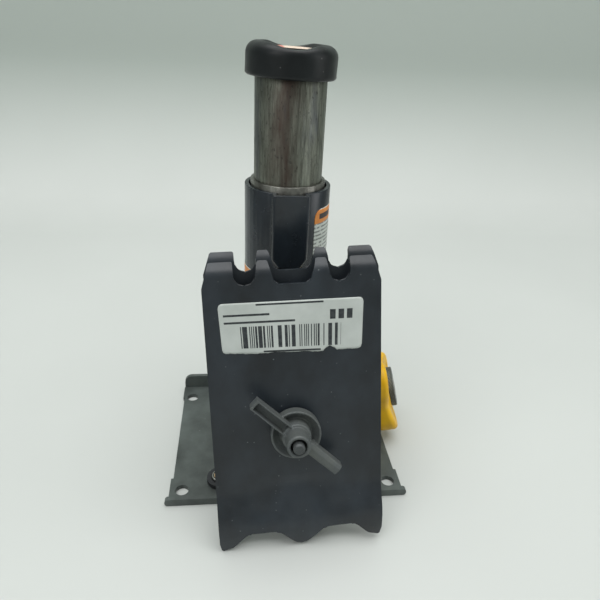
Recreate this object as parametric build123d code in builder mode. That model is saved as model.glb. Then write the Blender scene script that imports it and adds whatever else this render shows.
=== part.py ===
"""Telescoping screw jack with two steel wheel blocks stowed on its front. Millimetres, +Z up."""

from build123d import *
import os
from math import atan2, cos, pi, radians, sin

os.makedirs("parts", exist_ok=True)

# ---- Driving dimensions -------------------------------------------------------------------
SHEET = 3.0                  # base and bracket sheet
RUN_FIT = 0.06               # radial clearance of a turning fit
SNUG = 0.02                  # radial clearance between pieces pressed together

# Base
BASE_FRONT = -73.7           # front bend line
BASE_BACK = 39.3             # back bend line
BASE_HALF = 71.5             # half width between the ears
EAR_HALF = 73.0              # half width at the ears
FRONT_EAR = 16.5             # depth of the front ears
BACK_EAR = 13.5              # depth of the back ears
FRONT_LIP = 5.0              # front lip height above the floor
BACK_LIP = 13.2              # back lip height above the floor
HOLE_X = 130.6               # fixing hole spacing across
HOLE_Y = 93.0                # fixing hole spacing front to back
HOLE_MID_Y = -20.6
HOLE_R = 4.1

# Column
TUBE_R = 25.4                # outer tube
TUBE_BORE_R = 23.0
TUBE_TOP = 179.1
TUBE_BOTTOM = 40.0
RIB_HALF = 10.5              # keyway rib pressed out of the tube's front
RIB_PROUD = 3.0
RIB_FOOT = 135.0
RAM_R = 20.0
RAM_BORE_R = 16.5
RAM_BOTTOM = 102.0
RAM_TOP = 248.0
SADDLE_R = 25.0
SADDLE_FOOT = 237.7
SADDLE_TOP = 254.4
KEY_HALF = 3.0               # anti-turn key half width
LEAD = 4.0                   # screw lead per turn

# Gear train: a bevel pinion on an inclined drive shaft turns a bevel gear on the screw
APEX_Z = 16.0                # where the two axes meet
DRIVE_RISE = 16.0            # drive shaft angle above the horizontal, degrees
DRIVE_SWING = -10.0          # drive shaft direction seen from above, degrees from +X
PINION_TEETH = 10
GEAR_TEETH = 20
MODULE = 1.6
FACE_WIDTH = 8.0
TOOTH_THINNING = 0.80        # tooth thickness as a share of half the pitch
ADDENDUM = 1.25
DEDENDUM = 1.9

# Drive shaft stations, measured along its axis from the apex
SHAFT_R = 5.0
BOSS_END = 52.0
KNOB_INNER = 67.5
KNOB_OUTER = 79.5
KNOB_R = 20.0                 # at the hollows between its lobes
COLLAR_END = 83.3
COLLAR_R = 13.6
SOCKET_R = 5.1
SOCKET_DEPTH = 11.0

# Wheel blocks, stowed on a stud that leans with them
BLOCK_FOOT = (5.3, -108.7, 2.3)   # middle of the front block's toothed edge
BLOCK_LEAN = 14.34           # lean back from the vertical, degrees
BLOCK_YAW = 1.28             # the blocks sit slightly askew on their stud
BLOCK_ROLL = 2.5
BLOCK_SHEET = 2.8
BLOCK_HALF = 45.7
BLOCK_PITCH = 9.0            # distance from the front block back to the rear one
REAR_RAISE = 5.6
REAR_SHIFT = 1.0
STUD_UP = 70.8               # stud height along the block
STUD_ACROSS = -2.0           # stud offset in the blocks' oversize hole
STUD_R = 3.0
STUD_END = 25.0
WING_ANGLE = -41.0
WING_REACH = 30.0


# ---- Placing -------------------------------------------------------------------------------
rise, swing = radians(DRIVE_RISE), radians(DRIVE_SWING)
apex = Vector(0, 0, APEX_Z)
drive_dir = Vector(cos(rise) * cos(swing), cos(rise) * sin(swing), sin(rise))
drive_up = Vector(-sin(rise) * cos(swing), -sin(rise) * sin(swing), cos(rise))
drive_axis = Axis(apex, drive_dir)
drive_section = Plane(origin=apex, x_dir=drive_up, z_dir=drive_up.cross(drive_dir))
drive_face = Plane(origin=apex, x_dir=drive_up, z_dir=drive_dir)

block_place = (
    Pos(*BLOCK_FOOT) * Rot(Z=BLOCK_YAW) * Rot(X=90 - BLOCK_LEAN) * Rot(Z=BLOCK_ROLL)
)
front_plane = Plane(block_place)
rear_plane = Plane(block_place * Pos(REAR_SHIFT, REAR_RAISE, -BLOCK_PITCH))
stud_point = (block_place * Pos(STUD_ACROSS, STUD_UP, 0)).position
stud_plane = Plane(Pos(0, stud_point.Y, stud_point.Z) * Rot(X=90 - BLOCK_LEAN))
stud_axis = Axis(stud_plane.origin, stud_plane.z_dir)
stud_section = Plane(origin=stud_plane.origin, x_dir=stud_plane.x_dir, z_dir=-stud_plane.y_dir)


# ---- Helpers -------------------------------------------------------------------------------
def turned(points, section=Plane.XZ, axis=Axis.Z):
    """A piece turned about an axis. points are (radius, place along the axis)."""
    with BuildPart() as piece:
        with BuildSketch(section):
            with BuildLine():
                Polyline(*points, close=True)
            make_face()
        revolve(axis=axis)
    return piece


def bevel_teeth(axis_plane, count, cone_angle, cone_distance, turn):
    """Straight bevel teeth for a gear about axis_plane's Z, made as one part."""
    pitch = pi * MODULE
    half = pitch * TOOTH_THINNING / 4
    tip = half - 0.34 * ADDENDUM
    root = half + 0.30 * DEDENDUM
    small = (cone_distance - FACE_WIDTH) / cone_distance
    with BuildPart() as teeth:
        for index in range(count):
            place = Plane(axis_plane.location * Rot(Z=turn + 360 * index / count))
            along = place.x_dir * sin(cone_angle) + place.z_dir * cos(cone_angle)
            for scale in (1.0, small):
                section = Plane(
                    origin=place.origin + along * cone_distance * scale,
                    x_dir=place.y_dir,
                    z_dir=along,
                )
                with BuildSketch(section):
                    with BuildLine():
                        Polyline(
                            (-tip * scale, -ADDENDUM * scale),
                            (tip * scale, -ADDENDUM * scale),
                            (root * scale, (DEDENDUM + 0.4) * scale),
                            (-root * scale, (DEDENDUM + 0.4) * scale),
                            close=True,
                        )
                    make_face()
            loft()
    return teeth


def save(piece, name):
    """Labels a finished piece and writes it."""
    piece.part.label = name
    export_step(piece.part, f"parts/{name}.step")


# ---- Base ----------------------------------------------------------------------------------
SCREW_RING = 38.0            # gear case screws stand on this radius
RIVET_X, RIVET_Y = 42.0, -60.0
RIVET_R = 3.2
M6_R = 3.0

with BuildPart() as base_plate:
    with BuildSketch():
        with Locations((0, (BASE_FRONT + BASE_BACK) / 2)):
            Rectangle(2 * BASE_HALF, BASE_BACK - BASE_FRONT)
        with Locations((0, BASE_FRONT + FRONT_EAR / 2)):
            Rectangle(2 * EAR_HALF, FRONT_EAR)
        with Locations((0, BASE_BACK - BACK_EAR / 2)):
            Rectangle(2 * EAR_HALF - 1, BACK_EAR)
    extrude(amount=SHEET)
    with BuildSketch(Plane.XZ.offset(-BASE_FRONT)) as front_lip:
        with Locations((0, FRONT_LIP / 2)):
            Rectangle(2 * EAR_HALF + 4, FRONT_LIP)
        fillet(front_lip.vertices(), 2.2)
    extrude(amount=SHEET)
    with BuildSketch(Plane.XZ.offset(-BASE_BACK)) as back_lip:
        with Locations((0, BACK_LIP / 2)):
            Rectangle(2 * EAR_HALF - 2, BACK_LIP)
        fillet(back_lip.vertices().group_by(Axis.Y)[-1], 5.5)
    extrude(amount=-SHEET)
    bends = base_plate.edges().filter_by(Axis.X).group_by(Axis.Z)[0]
    fillet(bends.sort_by(Axis.Y)[-1], 2.4)
    inner_bends = base_plate.edges().filter_by(Axis.X).filter_by_position(
        Axis.Z, SHEET - 0.1, SHEET + 0.1
    )
    fillet(inner_bends.sort_by(Axis.Y)[-1], 1.2)
    with Locations((0, HOLE_MID_Y, SHEET)):
        with GridLocations(HOLE_X, HOLE_Y, 2, 2):
            Hole(HOLE_R)
    with Locations(Pos(0, 0, SHEET)):
        with PolarLocations(SCREW_RING, 4, 45):
            Hole(M6_R + SNUG)
    with Locations((-RIVET_X, RIVET_Y, SHEET), (RIVET_X, RIVET_Y, SHEET)):
        Hole(RIVET_R + SNUG)
save(base_plate, "base_plate")

# ---- Gear case -----------------------------------------------------------------------------
CASE_R = 30.5
CASE_BORE_R = 26.2
CASE_TOP = 48.0
SEAT_Z = TUBE_BOTTOM         # shoulder that the outer tube stands on
ROOF_Z = 36.5                # underside of the shoulder
BOSS_R = 12.5
BUSH_R = 8.0
FLANGE = 5.0
LUG_R = 7.0

with BuildPart() as gear_case:
    with BuildSketch(Plane.XY.offset(SHEET)):
        Circle(CASE_R + 3)
        with PolarLocations(SCREW_RING, 4, 45):
            Circle(LUG_R)
        make_hull()
    extrude(amount=FLANGE)
    with BuildSketch(Plane.XY.offset(SHEET)):
        Circle(CASE_R)
    extrude(amount=CASE_TOP - SHEET)
    chamfer(gear_case.faces().sort_by(Axis.Z)[-1].edges(), 1.6)
    with BuildSketch(drive_face.offset(20)):
        Circle(BOSS_R)
    extrude(amount=BOSS_END - 20)
    chamfer(gear_case.faces().sort_by(drive_axis)[-1].edges(), 1.0)
    with BuildSketch(Plane.XY.offset(SHEET)):
        Circle(CASE_BORE_R)
    extrude(amount=ROOF_Z - SHEET, mode=Mode.SUBTRACT)
    with BuildSketch(Plane.XY.offset(ROOF_Z)):
        Circle(TUBE_BORE_R - 0.4)
    extrude(amount=SEAT_Z - ROOF_Z, mode=Mode.SUBTRACT)
    with BuildSketch(Plane.XY.offset(SEAT_Z)):
        Circle(TUBE_R + SNUG)
    extrude(amount=CASE_TOP - SEAT_Z, mode=Mode.SUBTRACT)
    with BuildSketch(drive_face.offset(18)):
        Circle(BUSH_R + SNUG)
    extrude(amount=BOSS_END - 18, mode=Mode.SUBTRACT)
    with Locations(Pos(0, 0, SHEET + FLANGE)):
        with PolarLocations(SCREW_RING, 4, 45):
            Hole(M6_R + SNUG, depth=FLANGE)
save(gear_case, "gear_case")

with BuildPart() as case_screws:
    with BuildSketch(Plane.XY.offset(SHEET + FLANGE)):
        with PolarLocations(SCREW_RING, 4, 45):
            RegularPolygon(5.0, 6, major_radius=False)
    extrude(amount=4.2)
    chamfer(case_screws.faces().group_by(Axis.Z)[-1].edges(), 0.6)
    with BuildSketch(Plane.XY.offset(SHEET + FLANGE)):
        with PolarLocations(SCREW_RING, 4, 45):
            Circle(M6_R)
    extrude(amount=-(FLANGE + SHEET - 0.4))
save(case_screws, "case_screws")

# ---- Outer tube with its keyway rib, and the guide bush ----------------------------------------
TUBE_WALL = TUBE_R - TUBE_BORE_R
BUSH_TOP = 182.0
BUSH_FOOT = 166.0

with BuildPart() as outer_tube:
    with BuildSketch(Plane.XY.offset(TUBE_BOTTOM)):
        Circle(TUBE_R)
    extrude(amount=TUBE_TOP - TUBE_BOTTOM)
    with BuildSketch(Plane.XZ.offset(16)) as rib:
        with BuildLine():
            Polyline(
                (-RIB_HALF, TUBE_TOP),
                (-RIB_HALF, RIB_FOOT + 6),
                (-RIB_HALF + 4, RIB_FOOT),
                (RIB_HALF - 4, RIB_FOOT),
                (RIB_HALF, RIB_FOOT + 6),
                (RIB_HALF, TUBE_TOP),
                close=True,
            )
        make_face()
        fillet(rib.vertices().group_by(Axis.Y)[0], 3.0)
    extrude(amount=TUBE_R + RIB_PROUD - 16)
    rib_front = outer_tube.faces().sort_by(Axis.Y)[0]
    fillet(rib_front.edges().filter_by(Axis.X, reverse=True), 1.6)
    with BuildSketch(Plane.XY.offset(TUBE_BOTTOM)):
        Circle(TUBE_BORE_R)
    extrude(amount=TUBE_TOP - TUBE_BOTTOM, mode=Mode.SUBTRACT)
    with BuildSketch(Plane.XZ.offset(16)):
        with BuildLine():
            Polyline(
                (-RIB_HALF + TUBE_WALL, TUBE_TOP),
                (-RIB_HALF + TUBE_WALL, RIB_FOOT + 7),
                (-RIB_HALF + TUBE_WALL + 3.2, RIB_FOOT + TUBE_WALL),
                (RIB_HALF - TUBE_WALL - 3.2, RIB_FOOT + TUBE_WALL),
                (RIB_HALF - TUBE_WALL, RIB_FOOT + 7),
                (RIB_HALF - TUBE_WALL, TUBE_TOP),
                close=True,
            )
        make_face()
    extrude(amount=TUBE_R + RIB_PROUD - TUBE_WALL - 16, mode=Mode.SUBTRACT)
save(outer_tube, "outer_tube")

with BuildPart() as guide_bush:
    with BuildSketch(Plane.XY.offset(BUSH_FOOT)):
        Circle(TUBE_BORE_R - SNUG)
    extrude(amount=8)
    with BuildSketch(Plane.XY.offset(BUSH_FOOT)):
        Circle(TUBE_BORE_R - 1.0)
    extrude(amount=BUSH_TOP - BUSH_FOOT)
    with BuildSketch(Plane.XY.offset(BUSH_FOOT + 1)):
        with Locations((0, -TUBE_BORE_R)):
            Rectangle(8, 4.6)
    extrude(amount=8)
    with BuildSketch(Plane.XY.offset(BUSH_FOOT)):
        Circle(RAM_R + RUN_FIT)
    extrude(amount=BUSH_TOP - BUSH_FOOT, mode=Mode.SUBTRACT)
    with BuildSketch(Plane.XY.offset(BUSH_FOOT)):
        with Locations((0, RAM_R)):
            Rectangle(2 * KEY_HALF, 3.2)
    extrude(amount=BUSH_TOP - BUSH_FOOT)
save(guide_bush, "guide_bush")

# ---- Screw, thrust bearing and gears -------------------------------------------------------
RACE_R = 13.2
RACE_BORE_R = 6.7
BALL_R = 2.0
BALL_RING = 9.8
BALL_COUNT = 10
BALL_Z = 7.0
GROOVE_R = BALL_R + 0.05
SPIGOT_R = 6.0
STEM_R = 7.0
FLANGE_Z = 10.95
THREAD_R = 8.9
THREAD_CORE_R = 7.0
THREAD_FOOT = 38.5
SCREW_TOP = 172.0


def bearing_race(low, high):
    """A flat thrust race with a ball groove on the side that faces the balls."""
    with BuildPart() as race:
        with BuildSketch(Plane.XZ):
            with Locations(((RACE_R + RACE_BORE_R) / 2, (low + high) / 2)):
                Rectangle(RACE_R - RACE_BORE_R, high - low)
            with Locations((BALL_RING, BALL_Z)):
                Circle(GROOVE_R, mode=Mode.SUBTRACT)
        revolve(axis=Axis.Z)
    return race


lower_race = bearing_race(SHEET + 0.02, BALL_Z - 1.0)
save(lower_race, "lower_race")
upper_race = bearing_race(BALL_Z + 1.0, FLANGE_Z - 0.02)
save(upper_race, "upper_race")

with BuildPart() as thrust_balls:
    with Locations(Pos(0, 0, BALL_Z)):
        with PolarLocations(BALL_RING, BALL_COUNT):
            Sphere(BALL_R)
save(thrust_balls, "thrust_balls")

with BuildPart() as ball_cage:
    with BuildSketch(Plane.XY.offset(BALL_Z - 0.6)):
        Circle(RACE_R - 0.6)
        Circle(RACE_BORE_R + 0.5, mode=Mode.SUBTRACT)
        with PolarLocations(BALL_RING, BALL_COUNT):
            Circle(BALL_R + 0.08, mode=Mode.SUBTRACT)
    extrude(amount=1.2)
save(ball_cage, "ball_cage")

screw_points = [
    (0, SHEET + 0.6),
    (SPIGOT_R, SHEET + 0.6),
    (SPIGOT_R, FLANGE_Z),
    (RACE_R - 1, FLANGE_Z),
    (RACE_R - 1, FLANGE_Z + 1.5),
    (STEM_R, FLANGE_Z + 1.5),
    (STEM_R, THREAD_FOOT),
    (THREAD_R, THREAD_FOOT),
]
thread_z = THREAD_FOOT + 2.0
while thread_z < SCREW_TOP - LEAD:
    screw_points += [
        (THREAD_R, thread_z),
        (THREAD_CORE_R, thread_z + 0.6),
        (THREAD_CORE_R, thread_z + 1.8),
        (THREAD_R, thread_z + 2.4),
    ]
    thread_z += LEAD
screw_points += [(THREAD_R, SCREW_TOP - 1.2), (THREAD_R - 1.2, SCREW_TOP), (0, SCREW_TOP)]
lead_screw = turned(screw_points)
save(lead_screw, "lead_screw")

shaft_angle = radians(90 - DRIVE_RISE)
gear_cone = atan2(sin(shaft_angle), PINION_TEETH / GEAR_TEETH + cos(shaft_angle))
pinion_cone = shaft_angle - gear_cone
gear_r = MODULE * GEAR_TEETH / 2
pinion_r = MODULE * PINION_TEETH / 2
cone_distance = gear_r / sin(gear_cone)
small_end = (cone_distance - FACE_WIDTH) / cone_distance


def root_point(cone_angle, scale):
    """(radius, axial place) of the root cone at a share of the full cone distance."""
    radius = (cone_distance * sin(cone_angle) - DEDENDUM * cos(cone_angle)) * scale
    place = (cone_distance * cos(cone_angle) + DEDENDUM * sin(cone_angle)) * scale
    return radius, place


gear_low_r, gear_low = root_point(gear_cone, small_end)
gear_high_r, gear_high = root_point(gear_cone, 1.0)
GEAR_BACK = 20.2
gear_blank = turned(
    [
        (STEM_R + SNUG, APEX_Z + gear_low - 0.3),
        (gear_low_r - 0.4, APEX_Z + gear_low - 0.3),
        (gear_low_r, APEX_Z + gear_low),
        (gear_high_r, APEX_Z + gear_high),
        (gear_high_r, APEX_Z + 17.5),
        (STEM_R + 4, APEX_Z + 17.5),
        (STEM_R + 4, APEX_Z + GEAR_BACK),
        (STEM_R + SNUG, APEX_Z + GEAR_BACK),
    ]
)
gear_plane = Plane(origin=apex, x_dir=(cos(swing), sin(swing), 0), z_dir=(0, 0, 1))
gear_teeth = bevel_teeth(gear_plane, GEAR_TEETH, gear_cone, cone_distance, 180 / GEAR_TEETH)
with BuildPart() as bevel_gear:
    add(gear_blank.part)
    add(gear_teeth.part)
save(bevel_gear, "bevel_gear")

PINION_BACK = 26.0
PINION_HUB_R = 7.2
SPIGOT_END = 15.0
SHAFT_SPIGOT_R = 2.6
PIN_T = 23.0
PIN_R = 1.2
pinion_low_r, pinion_low = root_point(pinion_cone, small_end)
pinion_high_r, pinion_high = root_point(pinion_cone, 1.0)
pinion_blank = turned(
    [
        (0, pinion_low),
        (pinion_low_r, pinion_low),
        (pinion_high_r, pinion_high),
        (PINION_HUB_R, pinion_high + 0.6),
        (PINION_HUB_R, PINION_BACK),
        (SHAFT_SPIGOT_R + SNUG, PINION_BACK),
        (SHAFT_SPIGOT_R + SNUG, SPIGOT_END - 0.4),
        (0, SPIGOT_END - 0.4),
    ],
    drive_section,
    drive_axis,
)
pinion_teeth = bevel_teeth(drive_face, PINION_TEETH, pinion_cone, cone_distance, 0)
cross_plane = Plane(
    origin=apex + drive_dir * PIN_T, x_dir=drive_dir, z_dir=drive_up.cross(drive_dir)
)
with BuildPart() as pinion:
    add(pinion_blank.part)
    add(pinion_teeth.part)
    with BuildSketch(cross_plane):
        Circle(PIN_R + SNUG)
    extrude(amount=PINION_HUB_R + 1, both=True, mode=Mode.SUBTRACT)
save(pinion, "pinion")

with BuildPart() as pinion_pin:
    with BuildSketch(cross_plane):
        Circle(PIN_R)
    extrude(amount=PINION_HUB_R - 0.2, both=True)
save(pinion_pin, "pinion_pin")

# ---- Drive shaft, bushes and knob ----------------------------------------------------------
HEAD_R = 8.0
HEAD_T = 70.0
HUB_T = 60.5
HUB_R = 10.5
KNOB_PIN_T = 64.0
KNOB_PIN_R = 1.6
RING_T = BOSS_END + 0.6
knob_pin_plane = Plane(
    origin=apex + drive_dir * KNOB_PIN_T, x_dir=drive_dir, z_dir=drive_up.cross(drive_dir)
)
shaft_core = turned(
    [
        (0, SPIGOT_END),
        (SHAFT_SPIGOT_R, SPIGOT_END),
        (SHAFT_SPIGOT_R, PINION_BACK + 0.1),
        (SHAFT_R, PINION_BACK + 0.1),
        (SHAFT_R, RING_T),
        (SHAFT_R - 0.5, RING_T),
        (SHAFT_R - 0.5, RING_T + 1.3),
        (SHAFT_R, RING_T + 1.3),
        (SHAFT_R, HEAD_T),
        (HEAD_R, HEAD_T),
        (HEAD_R, COLLAR_END - 0.8),
        (HEAD_R - 0.8, COLLAR_END),
        (SOCKET_R + 0.6, COLLAR_END),
        (SOCKET_R, COLLAR_END - 0.6),
        (SOCKET_R, COLLAR_END - SOCKET_DEPTH),
        (0, COLLAR_END - SOCKET_DEPTH),
    ],
    drive_section,
    drive_axis,
)
with BuildPart() as drive_shaft:
    add(shaft_core.part)
    with BuildSketch(cross_plane):
        Circle(PIN_R + SNUG)
    extrude(amount=SHAFT_R + 1, both=True, mode=Mode.SUBTRACT)
    with BuildSketch(knob_pin_plane):
        Circle(KNOB_PIN_R + SNUG)
    extrude(amount=SHAFT_R + 1, both=True, mode=Mode.SUBTRACT)
save(drive_shaft, "drive_shaft")


def shaft_bush(start, end):
    """A plain bronze bush in the gear case's boss."""
    return turned(
        [
            (SHAFT_R + RUN_FIT, start),
            (BUSH_R, start),
            (BUSH_R, end),
            (SHAFT_R + RUN_FIT, end),
        ],
        drive_section,
        drive_axis,
    )


inner_bush = shaft_bush(29.5, 37.5)
save(inner_bush, "inner_bush")
outer_bush = shaft_bush(43.5, BOSS_END)
save(outer_bush, "outer_bush")

with BuildPart() as retaining_ring:
    with BuildSketch(drive_face.offset(RING_T + 0.1)):
        Circle(SHAFT_R + 2.6)
        Circle(SHAFT_R - 0.5 + SNUG, mode=Mode.SUBTRACT)
        with Locations((SHAFT_R + 1, 0)):
            Rectangle(6, 4, mode=Mode.SUBTRACT)
    extrude(amount=1.1)
save(retaining_ring, "retaining_ring")

KNOB_LOBES = 3
LOBE_RISE = 10.6
LOBE_TURN = radians(20)


def knob_edge(angle):
    """A point of the knob's lobed outline. One lobe points down and a little forward."""
    reach = KNOB_R + LOBE_RISE * (1 - cos(KNOB_LOBES * (angle + LOBE_TURN))) / 2
    return reach * cos(angle), reach * sin(angle)


knob_hub = turned(
    [
        (SHAFT_R + SNUG, HUB_T),
        (HUB_R, HUB_T),
        (HUB_R, KNOB_INNER + 1),
        (SHAFT_R + SNUG, KNOB_INNER + 1),
    ],
    drive_section,
    drive_axis,
)
with BuildPart() as drive_knob:
    with BuildSketch(drive_face.offset(KNOB_INNER)):
        with BuildLine():
            Spline(*[knob_edge(radians(10 * step)) for step in range(36)], periodic=True)
        make_face()
    extrude(amount=KNOB_OUTER - KNOB_INNER)
    rims = [e for e in drive_knob.edges() if e.geom_type == GeomType.BSPLINE]
    fillet(rims, 2.6)
    with BuildSketch(drive_face.offset(HEAD_T - 0.05)):
        Circle(HEAD_R + SNUG)
    extrude(amount=KNOB_OUTER, mode=Mode.SUBTRACT)
    with BuildSketch(drive_face.offset(KNOB_INNER - 1)):
        Circle(SHAFT_R + SNUG)
    extrude(amount=KNOB_OUTER, mode=Mode.SUBTRACT)
    add(knob_hub.part)
    with BuildSketch(drive_face.offset(KNOB_OUTER)):
        Circle(KNOB_R - 2.0)
        Circle(COLLAR_R + 1.5, mode=Mode.SUBTRACT)
    extrude(amount=-1.2, mode=Mode.SUBTRACT)
    with BuildSketch(knob_pin_plane):
        Circle(KNOB_PIN_R + SNUG)
    extrude(amount=HUB_R + 1, both=True, mode=Mode.SUBTRACT)
save(drive_knob, "drive_knob")

with BuildPart() as knob_pin:
    with BuildSketch(knob_pin_plane):
        Circle(KNOB_PIN_R)
    extrude(amount=HUB_R - 0.2, both=True)
save(knob_pin, "knob_pin")

KNURLS = 32
with BuildPart() as drive_collar:
    with BuildSketch(drive_face.offset(KNOB_OUTER + 0.05)):
        Circle(COLLAR_R)
        Circle(HEAD_R + SNUG, mode=Mode.SUBTRACT)
    extrude(amount=COLLAR_END - KNOB_OUTER - 0.05)
    rims = drive_collar.edges().filter_by(GeomType.CIRCLE).filter_by(
        lambda edge: edge.radius > COLLAR_R - 0.1
    )
    chamfer(rims, 0.6)
    with BuildSketch(drive_face.offset(KNOB_OUTER)):
        with PolarLocations(COLLAR_R + 0.35, KNURLS):
            Circle(0.75)
    extrude(amount=COLLAR_END - KNOB_OUTER + 1, mode=Mode.SUBTRACT)
save(drive_collar, "drive_collar")

# ---- Ram and saddle --------------------------------------------------------------------------
GROOVE_TOP = 236.5
GROOVE_FLOOR_R = 18.0
NUT_LENGTH = 26.0
NUT_FLANGE_R = 22.6
PLUG_FOOT = 236.0
RIVET_POST_R = 5.0
SADDLE_TILT = 2.0
SADDLE_ROOF = RAM_TOP + 1.05   # clears the ram with the saddle tilted
DISH_FLOOR = 250.6

with BuildPart() as ram_tube:
    with BuildSketch(Plane.XY.offset(RAM_BOTTOM)):
        Circle(RAM_R)
        Circle(RAM_BORE_R, mode=Mode.SUBTRACT)
    extrude(amount=RAM_TOP - RAM_BOTTOM)
    with BuildSketch(Plane.XY.offset(RAM_BOTTOM)):
        with Locations((0, GROOVE_FLOOR_R + 2)):
            Rectangle(2 * KEY_HALF + 0.7, 4)
    extrude(amount=GROOVE_TOP - RAM_BOTTOM, mode=Mode.SUBTRACT)
save(ram_tube, "ram_tube")

ram_nut = turned(
    [
        (THREAD_R + RUN_FIT, RAM_BOTTOM - 3),
        (NUT_FLANGE_R, RAM_BOTTOM - 3),
        (NUT_FLANGE_R, RAM_BOTTOM - SNUG),
        (RAM_BORE_R - SNUG, RAM_BOTTOM - SNUG),
        (RAM_BORE_R - SNUG, RAM_BOTTOM + NUT_LENGTH),
        (THREAD_R + RUN_FIT, RAM_BOTTOM + NUT_LENGTH),
    ]
)
save(ram_nut, "ram_nut")

ram_plug = turned(
    [
        (RIVET_POST_R + SNUG, PLUG_FOOT),
        (RAM_BORE_R - SNUG, PLUG_FOOT),
        (RAM_BORE_R - SNUG, RAM_TOP),
        (RIVET_POST_R + SNUG, RAM_TOP),
    ]
)
save(ram_plug, "ram_plug")

saddle_rivet = turned(
    [
        (0, PLUG_FOOT - 2),
        (8.0, PLUG_FOOT - 2),
        (8.0, PLUG_FOOT - 0.05),
        (RIVET_POST_R, PLUG_FOOT - 0.05),
        (RIVET_POST_R, DISH_FLOOR + 0.4),
        (9.0, DISH_FLOOR + 0.4),
        (8.4, DISH_FLOOR + 0.9),
        (5.5, DISH_FLOOR + 1.15),
        (0, DISH_FLOOR + 1.2),
    ]
)
save(saddle_rivet, "saddle_rivet")

with BuildPart() as level_saddle:
    with BuildSketch(Plane.XZ):
        with BuildLine():
            Polyline(
                (RAM_R + 0.9, SADDLE_FOOT),
                (SADDLE_R - 0.5, SADDLE_FOOT),
                (SADDLE_R, SADDLE_FOOT + 0.8),
                (SADDLE_R, SADDLE_TOP - 6.2),
            )
            RadiusArc((SADDLE_R, SADDLE_TOP - 6.2), (SADDLE_R - 5.2, SADDLE_TOP), -6.4)
            Polyline(
                (SADDLE_R - 5.2, SADDLE_TOP),
                (SADDLE_R - 8.0, SADDLE_TOP - 0.6),
                (11.0, DISH_FLOOR),
                (RIVET_POST_R + 0.3, DISH_FLOOR),
                (RIVET_POST_R + 0.3, SADDLE_ROOF),
                (RAM_R + 0.9, SADDLE_ROOF),
                (RAM_R + 0.9, SADDLE_FOOT),
            )
        make_face()
    revolve(axis=Axis.Z)
    with BuildSketch(Plane.XZ.offset(-SADDLE_R - 1)):
        with Locations((0, SADDLE_TOP + 27.4)):
            Circle(30.0)
    extrude(amount=2 * SADDLE_R + 2, mode=Mode.SUBTRACT)
saddle_rest = Location((0, 0, SADDLE_ROOF))
with BuildPart() as saddle:
    add(level_saddle.part.moved(saddle_rest * Rot(Y=SADDLE_TILT) * saddle_rest.inverse()))
save(saddle, "saddle")

# ---- Bracket and stud that carry the wheel blocks -------------------------------------------
FACE_N = -BLOCK_PITCH - BLOCK_SHEET - 1.0    # front of the bracket's face, on the stud axis
face_mid = stud_plane.origin + stud_plane.z_dir * (FACE_N - SHEET / 2)
face_low = face_mid - stud_plane.y_dir * 16
face_high = face_mid + stud_plane.y_dir * 14
FOOT_Z = SHEET + SHEET / 2 + 0.02
FOOT_HEEL = -44.5
FOOT_LUG_R = 8.3
WEB_HALF = 30.0
FACE_HALF = 20.0

with BuildPart() as block_bracket:
    with BuildSketch(Plane.YZ):
        with BuildLine():
            FilletPolyline(
                (RIVET_Y - 10, FOOT_Z),
                (FOOT_HEEL, FOOT_Z),
                (face_low.Y, face_low.Z),
                (face_high.Y, face_high.Z),
                radius=4.5,
            )
            offset(amount=SHEET / 2, side=Side.BOTH, closed=True, kind=Kind.INTERSECTION)
        make_face()
    extrude(amount=RIVET_X + 10, both=True)
    with BuildSketch(Plane.XZ.offset(-FOOT_HEEL - 40)):
        with BuildLine():
            Polyline(
                (-RIVET_X - 12, 9),
                (-WEB_HALF, 9),
                (-WEB_HALF, 20),
                (-FACE_HALF, 50),
                (-FACE_HALF, 74),
                (-FACE_HALF + 7, 90),
                (-RIVET_X - 12, 90),
                close=True,
            )
        make_face()
        mirror(about=Plane.YZ)
        with Locations((0, 30)):
            Trapezoid(34, 24, 73)
    extrude(amount=120, mode=Mode.SUBTRACT)
    with BuildSketch(Plane.XY):
        with Locations((0, RIVET_Y)):
            Rectangle(4 * RIVET_X, 60)
            Rectangle(2 * RIVET_X, 2 * FOOT_LUG_R, mode=Mode.SUBTRACT)
        with Locations((0, RIVET_Y + 10)):
            Rectangle(2 * WEB_HALF, 2 * FOOT_LUG_R + 20, mode=Mode.SUBTRACT)
        with Locations((-RIVET_X, RIVET_Y), (RIVET_X, RIVET_Y)):
            Circle(FOOT_LUG_R, mode=Mode.SUBTRACT)
    extrude(amount=9, mode=Mode.SUBTRACT)
    with BuildSketch(stud_plane.offset(FACE_N - SHEET - 1)):
        Circle(STUD_R + SNUG)
    extrude(amount=SHEET + 2, mode=Mode.SUBTRACT)
    with Locations((-RIVET_X, RIVET_Y, 2 * SHEET + 1), (RIVET_X, RIVET_Y, 2 * SHEET + 1)):
        Hole(RIVET_R + SNUG, depth=SHEET + 2)
save(block_bracket, "block_bracket")

rivet_top = 2 * SHEET + 0.04
hollow_rivet = turned(
    [
        (1.8, 0.3),
        (RIVET_R, 0.3),
        (RIVET_R, rivet_top),
        (5.6, rivet_top),
        (5.6, rivet_top + 0.7),
        (4.6, rivet_top + 1.4),
        (2.8, rivet_top + 1.4),
        (1.8, rivet_top + 0.4),
    ]
)
with BuildPart() as bracket_rivets:
    with Locations((-RIVET_X, RIVET_Y, 0), (RIVET_X, RIVET_Y, 0)):
        add(hollow_rivet.part)
save(bracket_rivets, "bracket_rivets")

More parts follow.
